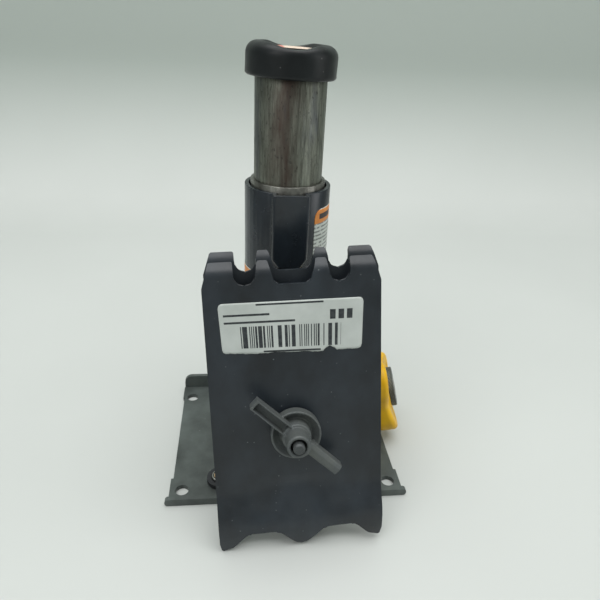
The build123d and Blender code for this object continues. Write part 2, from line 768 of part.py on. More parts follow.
block_stud = turned(
    [
        (0, FACE_N - SHEET - 3),
        (6.0, FACE_N - SHEET - 3),
        (7.0, FACE_N - SHEET - 2),
        (7.0, FACE_N - SHEET - 0.02),
        (STUD_R, FACE_N - SHEET - 0.02),
        (STUD_R, STUD_END - 0.9),
        (STUD_R - 0.9, STUD_END),
        (0, STUD_END),
    ],
    stud_section,
    stud_axis,
)
save(block_stud, "block_stud")

# ---- Wheel blocks ----------------------------------------------------------------------------
BEND_UP = 156.5
FRONT_LIP_REACH = 5.6
REAR_LIP_REACH = 3.6
LIP_ANGLE = 40.0
CORNER_UP = 149.2
NOTCH_FLOOR = 149.6
NOTCH_ACROSS = 24.3
NOTCH_R = 5.6
ARCH_ACROSS = 22.3
ARCH_TOP = 10.6
SLOT_R = 7.0                 # stud slot, long enough for both nested blocks
SLOT_LOW, SLOT_HIGH = -3.5, 1.0


def wheel_block(place, reach):
    """One pressed wheel block: a plate with a bent, notched top edge and a toothed, curled foot."""
    side = Plane(origin=place.origin, x_dir=place.y_dir, z_dir=place.x_dir)
    half = BLOCK_SHEET / 2
    lip = radians(LIP_ANGLE)
    with BuildPart() as block:
        with BuildSketch(side):
            with BuildLine():
                FilletPolyline(
                    (-2, -half - 0.6),
                    (16, 3.6 - half),
                    (36, -half),
                    (BEND_UP, -half),
                    (BEND_UP + reach * cos(lip), -half - reach * sin(lip)),
                    radius=(14, 20, 5),
                )
                offset(amount=half, side=Side.BOTH, closed=True, kind=Kind.INTERSECTION)
            make_face()
        extrude(amount=BLOCK_HALF, both=True)
        with BuildSketch(place.offset(-15)):
            with BuildLine():
                Polyline(
                    (-BLOCK_HALF + 1.0, -0.3),
                    (-BLOCK_HALF - 0.1, 5.5),
                    (-BLOCK_HALF - 0.1, CORNER_UP),
                    (-BLOCK_HALF + 4.3, BEND_UP + 8),
                    (BLOCK_HALF - 4.3, BEND_UP + 8),
                    (BLOCK_HALF + 0.1, CORNER_UP),
                    (BLOCK_HALF + 0.1, 5.5),
                    (BLOCK_HALF - 1.0, -0.3),
                )
                Line((BLOCK_HALF - 1.0, -0.3), (39.5, -0.3))
                Spline((39.5, -0.3), (34.5, 6.0), (28, ARCH_TOP - 0.6), (22, ARCH_TOP))
                Line((22, ARCH_TOP), (15, ARCH_TOP - 0.3))
                Spline((15, ARCH_TOP - 0.3), (9.5, 6.0), (5.0, 1.4), (0, -0.3))
                Spline((0, -0.3), (-5.0, 1.4), (-9.5, 6.0), (-15, ARCH_TOP - 0.3))
                Line((-15, ARCH_TOP - 0.3), (-22, ARCH_TOP))
                Spline((-22, ARCH_TOP), (-28, ARCH_TOP - 0.6), (-34.5, 6.0), (-39.5, -0.3))
                Line((-39.5, -0.3), (-BLOCK_HALF + 1.0, -0.3))
            make_face()
            with Locations((-NOTCH_ACROSS, NOTCH_FLOOR), (NOTCH_ACROSS, NOTCH_FLOOR)):
                notch_top = 20.0
                Polygon(
                    (-NOTCH_R + 0.4, NOTCH_R),
                    (-NOTCH_R - 1.6, notch_top),
                    (NOTCH_R + 1.6, notch_top),
                    (NOTCH_R - 0.4, NOTCH_R),
                    align=None,
                    mode=Mode.SUBTRACT,
                )
            with Locations(
                (-NOTCH_ACROSS, NOTCH_FLOOR + NOTCH_R), (NOTCH_ACROSS, NOTCH_FLOOR + NOTCH_R)
            ):
                Circle(NOTCH_R, mode=Mode.SUBTRACT)
            with BuildLine():
                FilletPolyline(
                    (-13.5, 175),
                    (-11.8, NOTCH_FLOOR + 10),
                    (-8.4, NOTCH_FLOOR),
                    (8.4, NOTCH_FLOOR),
                    (11.8, NOTCH_FLOOR + 10),
                    (13.5, 175),
                    radius=3.0,
                    close=True,
                )
            make_face(mode=Mode.SUBTRACT)
            with Locations((0, STUD_UP + SLOT_LOW), (0, STUD_UP + SLOT_HIGH)):
                Circle(SLOT_R, mode=Mode.SUBTRACT)
            with Locations((0, STUD_UP + (SLOT_LOW + SLOT_HIGH) / 2)):
                Rectangle(2 * SLOT_R, SLOT_HIGH - SLOT_LOW, mode=Mode.SUBTRACT)
        extrude(amount=30, mode=Mode.INTERSECT)
    return block


front_block = wheel_block(front_plane, FRONT_LIP_REACH)
save(front_block, "front_block")
rear_block = wheel_block(rear_plane, REAR_LIP_REACH)
save(rear_block, "rear_block")

flat_washer = turned(
    [(STUD_R + 0.3, 0.5), (9.5, 0.5), (9.5, 1.4), (STUD_R + 0.3, 1.4)],
    stud_section,
    stud_axis,
)
save(flat_washer, "flat_washer")

# ---- Wing nut with a deep cupped flange -------------------------------------------------------
CUP_R = 13.3
CUP_RIM = 9.2
CUP_FOOT = 1.7
HUB_END = 22.5
WING_FRONT = 13.4
WING_BACK = 7.2
nut_body = turned(
    [
        (STUD_R + RUN_FIT, CUP_FOOT),
        (CUP_R - 2.2, CUP_FOOT),
        (CUP_R - 0.7, CUP_FOOT + 0.8),
        (CUP_R, CUP_FOOT + 2.6),
        (CUP_R, CUP_RIM - 0.3),
        (CUP_R - 0.4, CUP_RIM),
        (CUP_R - 1.3, CUP_RIM - 0.2),
        (CUP_R - 2.2, CUP_FOOT + 3.0),
        (CUP_R - 3.4, CUP_FOOT + 2.0),
        (7.6, CUP_FOOT + 2.0),
        (7.0, CUP_FOOT + 4.0),
        (6.1, HUB_END - 0.7),
        (5.5, HUB_END),
        (4.2, HUB_END),
        (4.2, HUB_END - 6.0),
        (STUD_R + RUN_FIT, HUB_END - 7.2),
    ],
    stud_section,
    stud_axis,
)
wing_plane = Plane(stud_plane.location * Rot(Z=WING_ANGLE))
with BuildPart() as wing_nut:
    add(nut_body.part)
    for side in (-1, 1):
        with BuildSketch(wing_plane.offset(WING_BACK)):
            with BuildLine():
                Polyline(
                    (side * 4.5, -3.6),
                    (side * (WING_REACH - 1.2), -2.9),
                    (side * WING_REACH, -1.9),
                    (side * WING_REACH, 1.9),
                    (side * (WING_REACH - 1.2), 2.9),
                    (side * 4.5, 3.6),
                    close=True,
                )
            make_face()
        extrude(amount=WING_FRONT - WING_BACK)
    with BuildSketch(wing_plane.offset(WING_FRONT)):
        with Locations((-18.2, 0)):
            Rectangle(21.6, 4.0)
    extrude(amount=-3.4, mode=Mode.SUBTRACT)
    with BuildSketch(wing_plane.offset(WING_BACK)):
        with Locations((21.6, 0)):
            Rectangle(14.6, 4.0)
    extrude(amount=3.4, mode=Mode.SUBTRACT)
    with BuildSketch(stud_plane.offset(HUB_END - 7)):
        Circle(4.2)
    extrude(amount=8, mode=Mode.SUBTRACT)
    with BuildSketch(stud_plane.offset(CUP_FOOT - 1)):
        Circle(STUD_R + RUN_FIT)
    extrude(amount=HUB_END, mode=Mode.SUBTRACT)
save(wing_nut, "wing_nut")

# ---- Labels ----------------------------------------------------------------------------------
LABEL_SHEET = 0.18


def sleeve_label(middle_angle, half_angle, low, high):
    """A thin label wrapped on the outer tube."""
    inner = TUBE_R + 0.02
    with BuildPart() as label:
        with BuildSketch(Plane.XY.offset(low)):
            with BuildLine():
                edge = [
                    (inner * cos(radians(a)), inner * sin(radians(a)))
                    for a in (middle_angle - half_angle, middle_angle, middle_angle + half_angle)
                ]
                far = [
                    (x * (inner + LABEL_SHEET) / inner, y * (inner + LABEL_SHEET) / inner)
                    for x, y in edge
                ]
                ThreePointArc(*edge)
                Line(edge[2], far[2])
                ThreePointArc(far[2], far[1], far[0])
                Line(far[0], edge[0])
            make_face()
        extrude(amount=high - low)
    return label


right_label = sleeve_label(-23.5, 32.0, 112.0, 169.0)
save(right_label, "right_label")
left_label = sleeve_label(190.0, 40.0, 100.0, 128.5)
save(left_label, "left_label")

with BuildPart() as stock_label:
    with BuildSketch(front_plane.offset(0.03)) as sticker:
        with Locations((-1.0, 127.0)):
            Rectangle(75.0, 27.6)
        fillet(sticker.vertices(), 2.5)
    extrude(amount=LABEL_SHEET)
save(stock_label, "stock_label")
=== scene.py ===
"""Looks for the telescoping screw jack: paint, steel, plastic, labels and the detailed pieces."""

from math import cos, exp, pi, radians, sin, sqrt, tan

import bmesh
import bpy
from mathutils import Matrix, Vector, noise


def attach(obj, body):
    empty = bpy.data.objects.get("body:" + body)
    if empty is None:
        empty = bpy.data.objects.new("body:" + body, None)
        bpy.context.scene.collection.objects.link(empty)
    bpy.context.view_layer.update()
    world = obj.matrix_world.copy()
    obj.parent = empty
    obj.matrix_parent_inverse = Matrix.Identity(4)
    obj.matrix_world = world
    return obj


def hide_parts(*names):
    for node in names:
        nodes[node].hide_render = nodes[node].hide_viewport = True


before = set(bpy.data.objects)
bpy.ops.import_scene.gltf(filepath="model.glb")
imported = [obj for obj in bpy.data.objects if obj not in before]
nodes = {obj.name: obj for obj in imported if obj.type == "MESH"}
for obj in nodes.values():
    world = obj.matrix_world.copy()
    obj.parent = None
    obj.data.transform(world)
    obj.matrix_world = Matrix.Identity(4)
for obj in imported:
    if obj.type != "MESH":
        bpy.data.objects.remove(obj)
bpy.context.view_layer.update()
scene = bpy.context.scene
MM = 0.001

# ---- Places, in millimetres, as the CAD has them -------------------------------------------------
APEX = Vector((0, 0, 16))
DRIVE_RISE, DRIVE_SWING = radians(16), radians(-10)
BLOCK_FOOT = Vector((5.3, -108.7, 2.3))
BLOCK_LEAN, BLOCK_YAW, BLOCK_ROLL = radians(14.34), radians(1.28), radians(2.5)
BLOCK_PITCH, REAR_RAISE, REAR_SHIFT = 9.0, 5.6, 1.0
BLOCK_SHEET = 2.8
BLOCK_HALF = 45.7
STUD_ACROSS, STUD_UP = -2.0, 70.8
SLOT_R, SLOT_LOW, SLOT_HIGH = 7.0, -3.5, 1.0

block_place = (
    Matrix.Translation(BLOCK_FOOT)
    @ Matrix.Rotation(BLOCK_YAW, 4, "Z")
    @ Matrix.Rotation(pi / 2 - BLOCK_LEAN, 4, "X")
    @ Matrix.Rotation(BLOCK_ROLL, 4, "Z")
)
rear_place = block_place @ Matrix.Translation((REAR_SHIFT, REAR_RAISE, -BLOCK_PITCH))
stud_point = block_place @ Vector((STUD_ACROSS, STUD_UP, 0))
stud_place = Matrix.Translation((0, stud_point.y, stud_point.z)) @ Matrix.Rotation(
    pi / 2 - BLOCK_LEAN, 4, "X"
)


def axes_place(origin, across, along):
    """A place whose X is across and whose Z is along."""
    up = along.cross(across)
    turn = Matrix((across, up, along)).transposed().to_4x4()
    return Matrix.Translation(origin) @ turn


drive_dir = Vector(
    (cos(DRIVE_RISE) * cos(DRIVE_SWING), cos(DRIVE_RISE) * sin(DRIVE_SWING), sin(DRIVE_RISE))
)
drive_up = Vector(
    (-sin(DRIVE_RISE) * cos(DRIVE_SWING), -sin(DRIVE_RISE) * sin(DRIVE_SWING), cos(DRIVE_RISE))
)
drive_place = axes_place(APEX, drive_up, drive_dir)


# ---- Material nodes ------------------------------------------------------------------------------
class Finish:
    """One node material around a Principled shader, with short names for the nodes it needs."""

    def __init__(self, name, roughness=0.5, metallic=0.0, **sockets):
        self.material = bpy.data.materials.new(name)
        self.material.use_nodes = True
        self.tree = self.material.node_tree
        self.shader = self.tree.nodes["Principled BSDF"]
        self.set("Roughness", roughness)
        self.set("Metallic", metallic)
        for key, value in sockets.items():
            self.set(key.replace("_", " "), value)
        self.object_place = self.tree.nodes.new("ShaderNodeTexCoord").outputs["Object"]

    def node(self, kind, **inputs):
        made = self.tree.nodes.new(kind)
        for key, value in inputs.items():
            self.feed(made.inputs[key.replace("_", " ")], value)
        return made

    def feed(self, socket, value):
        if isinstance(value, bpy.types.NodeSocket):
            self.tree.links.new(value, socket)
        else:
            socket.default_value = value

    def set(self, name, value):
        if isinstance(value, tuple) and len(value) == 3:
            value = (*value, 1.0)
        self.feed(self.shader.inputs[name], value)

    def stretched(self, x, y, z):
        """Object coordinates scaled on each axis."""
        made = self.node("ShaderNodeMapping", Vector=self.object_place)
        made.inputs["Scale"].default_value = (x, y, z)
        return made.outputs["Vector"]

    def noise(self, size_mm, detail=4.0, rough=0.55, stretch=None):
        """Noise with features about size_mm across."""
        place = self.stretched(*stretch) if stretch else self.object_place
        made = self.node("ShaderNodeTexNoise", Vector=place)
        made.inputs["Scale"].default_value = 1000.0 / size_mm
        made.inputs["Detail"].default_value = detail
        made.inputs["Roughness"].default_value = rough
        return made.outputs["Fac"]

    def cells(self, size_mm):
        made = self.node("ShaderNodeTexVoronoi", Vector=self.object_place)
        made.inputs["Scale"].default_value = 1000.0 / size_mm
        return made.outputs["Distance"]

    def ramp(self, value, *stops, ease="LINEAR"):
        """Colours or greys along a value. stops are (place, grey or colour)."""
        made = self.node("ShaderNodeValToRGB", Fac=value)
        band = made.color_ramp
        band.interpolation = ease
        for i, (place, colour) in enumerate(stops):
            stop = band.elements[i] if i < 2 else band.elements.new(place)
            stop.position = place
            stop.color = (*colour, 1) if isinstance(colour, tuple) else (colour,) * 3 + (1,)
        return made.outputs["Color"]

    def math(self, kind, a, b=0.0):
        made = self.tree.nodes.new("ShaderNodeMath")
        made.operation = kind
        self.feed(made.inputs[0], a)
        self.feed(made.inputs[1], b)
        return made.outputs[0]

    def mix(self, share, a, b):
        made = self.tree.nodes.new("ShaderNodeMix")
        made.data_type = "RGBA"
        self.feed(made.inputs["Factor"], share)
        for socket, value in (("A", a), ("B", b)):
            if isinstance(value, tuple):
                value = (*value, 1.0)
            self.feed([s for s in made.inputs if s.name == socket and s.type == "RGBA"][0], value)
        return [s for s in made.outputs if s.type == "RGBA"][0]

    def bump(self, height, strength, depth_mm, below=None):
        made = self.node("ShaderNodeBump", Height=height)
        made.inputs["Strength"].default_value = strength
        made.inputs["Distance"].default_value = depth_mm * MM
        if below is not None:
            self.feed(made.inputs["Normal"], below)
        return made.outputs["Normal"]

    def wear(self):
        """1 on the rounded edges that a piece's mesh marks, 0 elsewhere."""
        made = self.tree.nodes.new("ShaderNodeAttribute")
        made.attribute_name = "wear"
        return made.outputs["Fac"]

    def axis(self, letter):
        """Object coordinate along one axis, in millimetres."""
        split = self.node("ShaderNodeSeparateXYZ", Vector=self.object_place)
        return self.math("MULTIPLY", split.outputs[letter], 1000.0)

    def between(self, value, low, high):
        above = self.math("GREATER_THAN", value, low)
        return self.math("MULTIPLY", above, self.math("LESS_THAN", value, high))


def paint(name, colour, worn, roughness, orange_peel=0.10, speck=0.5, edge_wear=0.55, shine=0.5):
    """Satin or gloss paint with orange peel, hazy patches, fine scuffs and edges worn lighter."""
    f = Finish(name, Specular_IOR_Level=shine)
    haze = f.noise(30, 6, 0.6, (1.0, 1.0, 0.6))
    dark, light = (tuple(c * share for c in colour) for share in (0.55, 1.40))
    tone = f.ramp(haze, (0.34, dark), (0.66, light))
    scuffs = f.ramp(f.noise(2.2, 7, 0.7, (1.0, 1.0, 0.28)), (0.66, 0.0), (0.78, 1.0))
    patches = f.ramp(f.noise(21, 3), (0.50, 0.0), (0.66, 1.0))
    marks = f.math("MULTIPLY", f.math("MULTIPLY", scuffs, patches), speck)
    dust = f.ramp(f.cells(4.6), (0.045, 1.0), (0.095, 0.0))
    thin = f.ramp(f.noise(9, 3), (0.46, 0.0), (0.58, 1.0))
    dust = f.math("MULTIPLY", f.math("MULTIPLY", dust, thin), 1.3 * speck)
    marks = f.math("MAXIMUM", marks, dust)
    chips = f.ramp(f.noise(3.4, 5, 0.6), (0.46, 0.0), (0.60, 1.0))
    edges = f.math("MULTIPLY", f.math("MULTIPLY", f.wear(), chips), edge_wear)
    colour_out = f.mix(marks, tone, worn)
    f.set("Base Color", f.mix(edges, colour_out, tuple(min(1, c * 1.5) for c in worn)))
    low, high = roughness
    rough = f.ramp(f.noise(9, 6, 0.6), (0.30, low), (0.72, high))
    f.set("Roughness", f.math("ADD", rough, f.math("MULTIPLY", marks, 0.25)))
    f.set("Normal", f.bump(f.noise(1.3, 2), orange_peel, 0.12, f.bump(f.noise(14, 2), 0.12, 0.5)))
    return f.material


def metal(name, colour, tint, roughness, grain_mm, strength, metallic=0.9, grain=(1, 1, 1)):
    """Machined, cast or plated metal with a fine grain and a little discolouring."""
    f = Finish(name, metallic=metallic)
    stain = f.ramp(f.noise(11, 6, 0.6, grain), (0.38, 0.0), (0.66, 1.0))
    darker = tuple(c * 0.72 for c in colour)
    grey = f.ramp(f.noise(grain_mm, 4, 0.6, grain), (0.3, darker), (0.7, colour))
    f.set("Base Color", f.mix(stain, grey, tint))
    low, high = roughness
    f.set("Roughness", f.ramp(f.noise(3.0, 5, 0.6, grain), (0.3, low), (0.7, high)))
    f.set("Normal", f.bump(f.noise(grain_mm, 3, 0.6, grain), strength, 0.05))
    return f.material


def drawn_steel():
    """Bare drawn tube: vertical scratches, brown and blue heat tints, small dark pits."""
    f = Finish("bare_steel", metallic=0.88)
    streaks = f.noise(1.6, 7, 0.72, (1.0, 1.0, 0.10))
    broad = f.noise(9, 4, 0.6, (1.0, 1.0, 0.16))
    grey = f.ramp(
        streaks,
        (0.30, (0.068, 0.072, 0.059)), (0.50, (0.172, 0.186, 0.154)), (0.74, (0.33, 0.35, 0.295)),
    )
    off = f.math("ABSOLUTE", f.math("ADD", f.axis("X"), f.math("MULTIPLY", f.noise(14, 3), 9.0)))
    middle = f.ramp(f.math("DIVIDE", off, 20.0), (0.10, 1.0), (0.55, 0.15))
    brown = f.math("MULTIPLY", f.ramp(broad, (0.40, 0.45), (0.60, 1.0)), middle)
    tinted = f.mix(brown, grey, (0.080, 0.060, 0.050))
    blue = f.ramp(f.noise(13, 4, 0.6, (1.0, 1.0, 0.20)), (0.54, 0.0), (0.66, 0.6))
    tinted = f.mix(blue, tinted, (0.075, 0.082, 0.098))
    pits = f.ramp(f.noise(1.7, 6, 0.75, (1.0, 1.0, 0.45)), (0.56, 0.0), (0.66, 1.0))
    f.set("Base Color", f.mix(f.math("MULTIPLY", pits, 0.8), tinted, (0.035, 0.033, 0.032)))
    f.set("Roughness", f.ramp(f.noise(2.4, 6, 0.65, (1.0, 1.0, 0.12)), (0.30, 0.34), (0.72, 0.60)))
    scratches = f.bump(f.noise(0.55, 4, 0.65, (1.0, 1.0, 0.04)), 0.35, 0.05)
    f.set("Normal", f.bump(pits, 0.25, -0.08, scratches))
    return f.material


def moulded(name, top, low, roughness):
    """Moulded plastic with a fine texture and random patches of grime."""
    f = Finish(name, Specular_IOR_Level=0.36)
    haze = f.ramp(f.noise(13, 4), (0.35, top), (0.75, low))
    grime = f.ramp(f.noise(3.0, 6, 0.7), (0.62, 0.0), (0.86, 0.25))
    f.set("Base Color", f.mix(grime, haze, tuple(c * 0.45 for c in low)))
    f.set("Roughness", f.ramp(f.noise(5, 4), (0.3, roughness[0]), (0.7, roughness[1])))
    f.set("Normal", f.bump(f.noise(0.7, 3), 0.12, 0.05, f.bump(f.noise(7, 2), 0.1, 0.3)))
    return f.material


def vinyl(name):
    """White label stock, slightly creased."""
    f = Finish(name, Specular_IOR_Level=0.4)
    f.set("Normal", f.bump(f.noise(12, 3), 0.16, 0.5))
    f.set("Roughness", f.ramp(f.noise(6, 4), (0.3, 0.38), (0.7, 0.52)))
    return f


def stock_sticker():
    """Stock label with plain bars and plain blocks in place of its print."""
    f = vinyl("stock_print")
    uv = f.node("ShaderNodeUVMap")
    uv.uv_map = "print"
    split = f.node("ShaderNodeSeparateXYZ", Vector=uv.outputs["UV"])
    across, up = split.outputs["X"], split.outputs["Y"]
    paper = f.ramp(f.noise(16, 5), (0.3, (0.42, 0.455, 0.43)), (0.7, (0.52, 0.555, 0.53)))
    cell = f.math("FLOOR", f.math("MULTIPLY", across, 146.0))
    chance = f.tree.nodes.new("ShaderNodeTexWhiteNoise")
    chance.noise_dimensions = "1D"
    f.feed(chance.inputs["W"], f.math("ADD", cell, 0.37))
    bar = f.math("GREATER_THAN", chance.outputs["Value"], 0.50)
    bars = f.math("MULTIPLY", bar, f.between(across, 0.125, 0.845))
    ink = f.math("MULTIPLY", bars, f.between(up, 0.125, 0.545))
    for left, right, low, high in (
        (0.03, 0.345, 0.745, 0.785),
        (0.03, 0.52, 0.605, 0.645),
        (0.255, 0.72, 0.935, 0.97),
        (0.29, 0.70, 0.035, 0.07),
        (0.765, 0.805, 0.62, 0.80),
        (0.825, 0.865, 0.62, 0.80),
        (0.885, 0.925, 0.62, 0.80),
    ):
        line = f.math("MULTIPLY", f.between(across, left, right), f.between(up, low, high))
        ink = f.math("MAXIMUM", ink, line)
    fade = f.ramp(f.noise(2.0, 4), (0.30, 0.93), (0.6, 1.0))
    f.set("Base Color", f.mix(f.math("MULTIPLY", ink, fade), paper, (0.020, 0.024, 0.028)))
    return f.material


RULE_PITCH = 2.4


def sleeve_print(name, header_low, header_high):
    """Wrapped label: an orange header band over a pale body with plain grey rules."""
    f = vinyl(name)
    up = f.axis("Z")
    pale = f.ramp(f.noise(7, 5), (0.3, (0.50, 0.54, 0.50)), (0.7, (0.62, 0.66, 0.62)))
    phase = f.math("FRACT", f.math("DIVIDE", up, RULE_PITCH))
    rule = f.math("MULTIPLY", f.math("GREATER_THAN", phase, 0.56), 0.72)
    gaps = f.ramp(f.noise(1.6, 1, 0.5, (1, 1, 0.35)), (0.40, 0.0), (0.46, 1.0))
    body = f.mix(f.math("MULTIPLY", rule, gaps), pale, (0.06, 0.07, 0.07))
    header = f.between(up, header_low, header_high)
    middle = (header_low + header_high) / 2
    turn = f.node("ShaderNodeSeparateXYZ", Vector=f.stretched(1000.0, 1000.0, 1000.0))
    swing = f.math("ARCTAN2", turn.outputs["Y"], turn.outputs["X"])
    block = f.math(
        "MULTIPLY", f.between(up, middle - 1.7, middle + 1.5), f.between(swing, -0.82, -0.30)
    )
    orange = f.ramp(f.noise(5, 4), (0.3, (0.62, 0.20, 0.035)), (0.7, (0.74, 0.29, 0.06)))
    orange = f.mix(block, orange, (0.03, 0.02, 0.02))
    f.set("Base Color", f.mix(header, body, orange))
    return f.material


def dish_print():
    """Round sticker in the saddle's dish, part red and part cream."""
    f = vinyl("dish_print")
    side = f.math("ADD", f.axis("X"), f.math("MULTIPLY", f.noise(6, 2), 3.0))
    cream = f.ramp(f.noise(4, 3), (0.3, (0.72, 0.56, 0.44)), (0.7, (0.82, 0.68, 0.56)))
    red = f.ramp(f.noise(3, 3), (0.3, (0.66, 0.16, 0.12)), (0.7, (0.76, 0.26, 0.21)))
    f.set("Base Color", f.mix(f.between(side, -12.5, -3.5), cream, red))
    return f.material


EYELET_ACROSS, EYELET_BACK, EYELET_R = 42.0, 60.0, 8.0


def eyelet_painted_light():
    """Hollow rivet seen from above: brass rings round a bore painted dark as shade, ringed by painted
    shadow and a painted highlight.
    """
    f = Finish("eyelet_painted_light", metallic=0.7)
    out = f.math("SUBTRACT", f.math("ABSOLUTE", f.axis("X")), EYELET_ACROSS)
    back = f.math("ADD", f.axis("Y"), EYELET_BACK)
    squares = f.math("ADD", f.math("MULTIPLY", out, out), f.math("MULTIPLY", back, back))
    ragged = f.math("ADD", f.math("SQRT", squares), f.math("MULTIPLY", f.noise(2, 3), 0.4))
    # From the centre: the bore painted dark as shade, two brass bands of the rivet, a painted shadow
    # ring, a painted highlight ring, then painted shadow outside.
    rings_and_painted_light = f.ramp(
        f.math("DIVIDE", ragged, EYELET_R),
        (0.0, (0.01, 0.01, 0.01)), (0.27, (0.30, 0.20, 0.115)), (0.43, (0.46, 0.33, 0.20)),
        (0.50, (0.02, 0.02, 0.02)), (0.57, (0.30, 0.30, 0.27)), (0.66, (0.02, 0.022, 0.022)),
        ease="CONSTANT",
    )
    f.set("Base Color", rings_and_painted_light)
    f.set("Roughness", f.ramp(f.noise(2, 4), (0.3, 0.3), (0.7, 0.5)))
    f.set("Normal", f.bump(rings_and_painted_light, 0.3, 0.2))
    return f.material


BLOCK_PAINT = paint(
    "block_paint", (0.0150, 0.0200, 0.0255), (0.15, 0.17, 0.175), (0.32, 0.48),
    orange_peel=0.10, speck=0.6, edge_wear=0.85,
)
COLUMN_PAINT = paint(
    "column_paint", (0.014, 0.0185, 0.0235), (0.10, 0.12, 0.13), (0.18, 0.30),
    orange_peel=0.05, speck=0.25, edge_wear=0.6,
)
BASE_PAINT = paint(
    "base_paint", (0.070, 0.083, 0.078), (0.24, 0.26, 0.24), (0.36, 0.52),
    orange_peel=0.08, speck=0.65, edge_wear=0.6,
)
CASE_PAINT = paint(
    "case_paint", (0.018, 0.020, 0.024), (0.12, 0.12, 0.12), (0.42, 0.60),
    orange_peel=0.35, speck=0.4,
)
SADDLE_PAINT = paint(
    "saddle_paint", (0.0060, 0.0078, 0.0085), (0.13, 0.13, 0.13), (0.30, 0.46),
    orange_peel=0.14, speck=0.6, edge_wear=0.5, shine=0.30,
)
BARE_STEEL = drawn_steel()
BRIGHT_STEEL = metal(
    "bright_steel", (0.50, 0.49, 0.46), (0.26, 0.22, 0.17), (0.24, 0.42), 0.9, 0.15, grain=(1, 1, 3)
)
BUSH_STEEL = metal("bush_steel", (0.30, 0.30, 0.27), (0.085, 0.080, 0.072), (0.26, 0.46), 1.6, 0.25)
ZINC_STEEL = metal("zinc_steel", (0.44, 0.45, 0.43), (0.30, 0.29, 0.25), (0.30, 0.50), 1.4, 0.15)
CAST_ZINC = metal(
    "cast_zinc", (0.100, 0.112, 0.114), (0.105, 0.115, 0.108), (0.52, 0.68), 0.9, 0.4, 0.30
)
STUD_STEEL = metal(
    "stud_steel", (0.078, 0.086, 0.088), (0.055, 0.060, 0.062), (0.42, 0.60), 0.8, 0.4, 0.45
)
WORN_STEEL = metal(
    "worn_steel", (0.165, 0.185, 0.178), (0.09, 0.10, 0.095), (0.32, 0.50), 1.0, 0.3, 0.6
)
DARK_STEEL = metal(
    "dark_steel", (0.085, 0.095, 0.105), (0.05, 0.05, 0.055), (0.30, 0.46), 1.0, 0.2, 0.6
)
BRONZE = metal("bronze", (0.46, 0.30, 0.14), (0.22, 0.14, 0.07), (0.30, 0.50), 1.2, 0.2)
YELLOW = moulded("yellow_plastic", (0.86, 0.500, 0.006), (0.66, 0.355, 0.005), (0.36, 0.50))
STICKER = stock_sticker()
RIGHT_PRINT = sleeve_print("right_print", header_low=160.4, header_high=168.6)
LEFT_PRINT = sleeve_print("left_print", header_low=117.0, header_high=128.1)
DISH_PRINT = dish_print()
EYELET = eyelet_painted_light()

FINISHES = {
    "base_plate": BASE_PAINT, "gear_case": CASE_PAINT, "case_screws": ZINC_STEEL,
    "outer_tube": COLUMN_PAINT, "guide_bush": BUSH_STEEL, "lower_race": BRIGHT_STEEL,
    "upper_race": BRIGHT_STEEL, "thrust_balls": BRIGHT_STEEL, "ball_cage": BRONZE,
    "lead_screw": BRIGHT_STEEL, "bevel_gear": ZINC_STEEL, "pinion": ZINC_STEEL,
    "pinion_pin": BRIGHT_STEEL, "drive_shaft": BRIGHT_STEEL, "inner_bush": BRONZE,
    "outer_bush": BRONZE, "retaining_ring": DARK_STEEL, "drive_knob": YELLOW,
    "knob_pin": BRIGHT_STEEL, "drive_collar": WORN_STEEL, "ram_tube": BARE_STEEL,
    "ram_nut": BRONZE, "ram_plug": ZINC_STEEL, "saddle_rivet": ZINC_STEEL,
    "saddle": SADDLE_PAINT, "block_bracket": CASE_PAINT, "bracket_rivets": EYELET,
    "block_stud": STUD_STEEL, "front_block": BLOCK_PAINT, "rear_block": BLOCK_PAINT,
    "flat_washer": ZINC_STEEL, "wing_nut": CAST_ZINC, "right_label": RIGHT_PRINT,
    "left_label": LEFT_PRINT, "stock_label": STICKER,
}
for name, finish in FINISHES.items():
    nodes[name].data.materials.clear()
    nodes[name].data.materials.append(finish)


# ---- Mesh helpers --------------------------------------------------------------------------------
def new_piece(name, shape, place, finish):
    """A smooth-shaded object from a bmesh in millimetres, put at a place in the frame's metres."""
    shape.transform(Matrix.Scale(MM, 4) @ place)
    bmesh.ops.recalc_face_normals(shape, faces=shape.faces)
    mesh = bpy.data.meshes.new(name)
    shape.to_mesh(mesh)
    shape.free()
    mesh.polygons.foreach_set("use_smooth", [True] * len(mesh.polygons))
    mesh.materials.append(finish)
    piece = bpy.data.objects.new(name, mesh)
    scene.collection.objects.link(piece)
    return piece


def stand_in(piece, body, *replaced):
    """The piece moves with a body and stands for CAD nodes."""
    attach(piece, body)
    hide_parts(*replaced)
    return piece


def applied(piece):
    """The piece's mesh with its modifiers applied, as the same object."""
    shown = bpy.context.evaluated_depsgraph_get()
    shown.update()
    mesh = bpy.data.meshes.new_from_object(piece.evaluated_get(shown))
    piece.modifiers.clear()
    piece.data = mesh
    return piece


def weighted(piece):
    """Face-weighted normals, so that flat faces look flat beside rounded edges."""
    made = piece.modifiers.new("normals", "WEIGHTED_NORMAL")
    made.keep_sharp = True
    return piece


def rounded(corners, steps):
    """A closed outline with its corners rounded. corners are (x, y, radius)."""
    points = []
    count = len(corners)
    for i, (x, y, radius) in enumerate(corners):
        here = Vector((x, y))
        if radius == 0:
            points.append(here)
            continue
        back = (Vector(corners[i - 1][:2]) - here).normalized()
        on = (Vector(corners[(i + 1) % count][:2]) - here).normalized()
        half = back.angle(on) / 2
        reach = min(radius / tan(half), 0.48 * (Vector(corners[i - 1][:2]) - here).length,
                    0.48 * (Vector(corners[(i + 1) % count][:2]) - here).length)
        start, end = here + back * reach, here + on * reach
        for k in range(steps + 1):
            t = k / steps
            points.append(start * (1 - t) ** 2 + here * 2 * t * (1 - t) + end * t * t)
    return points


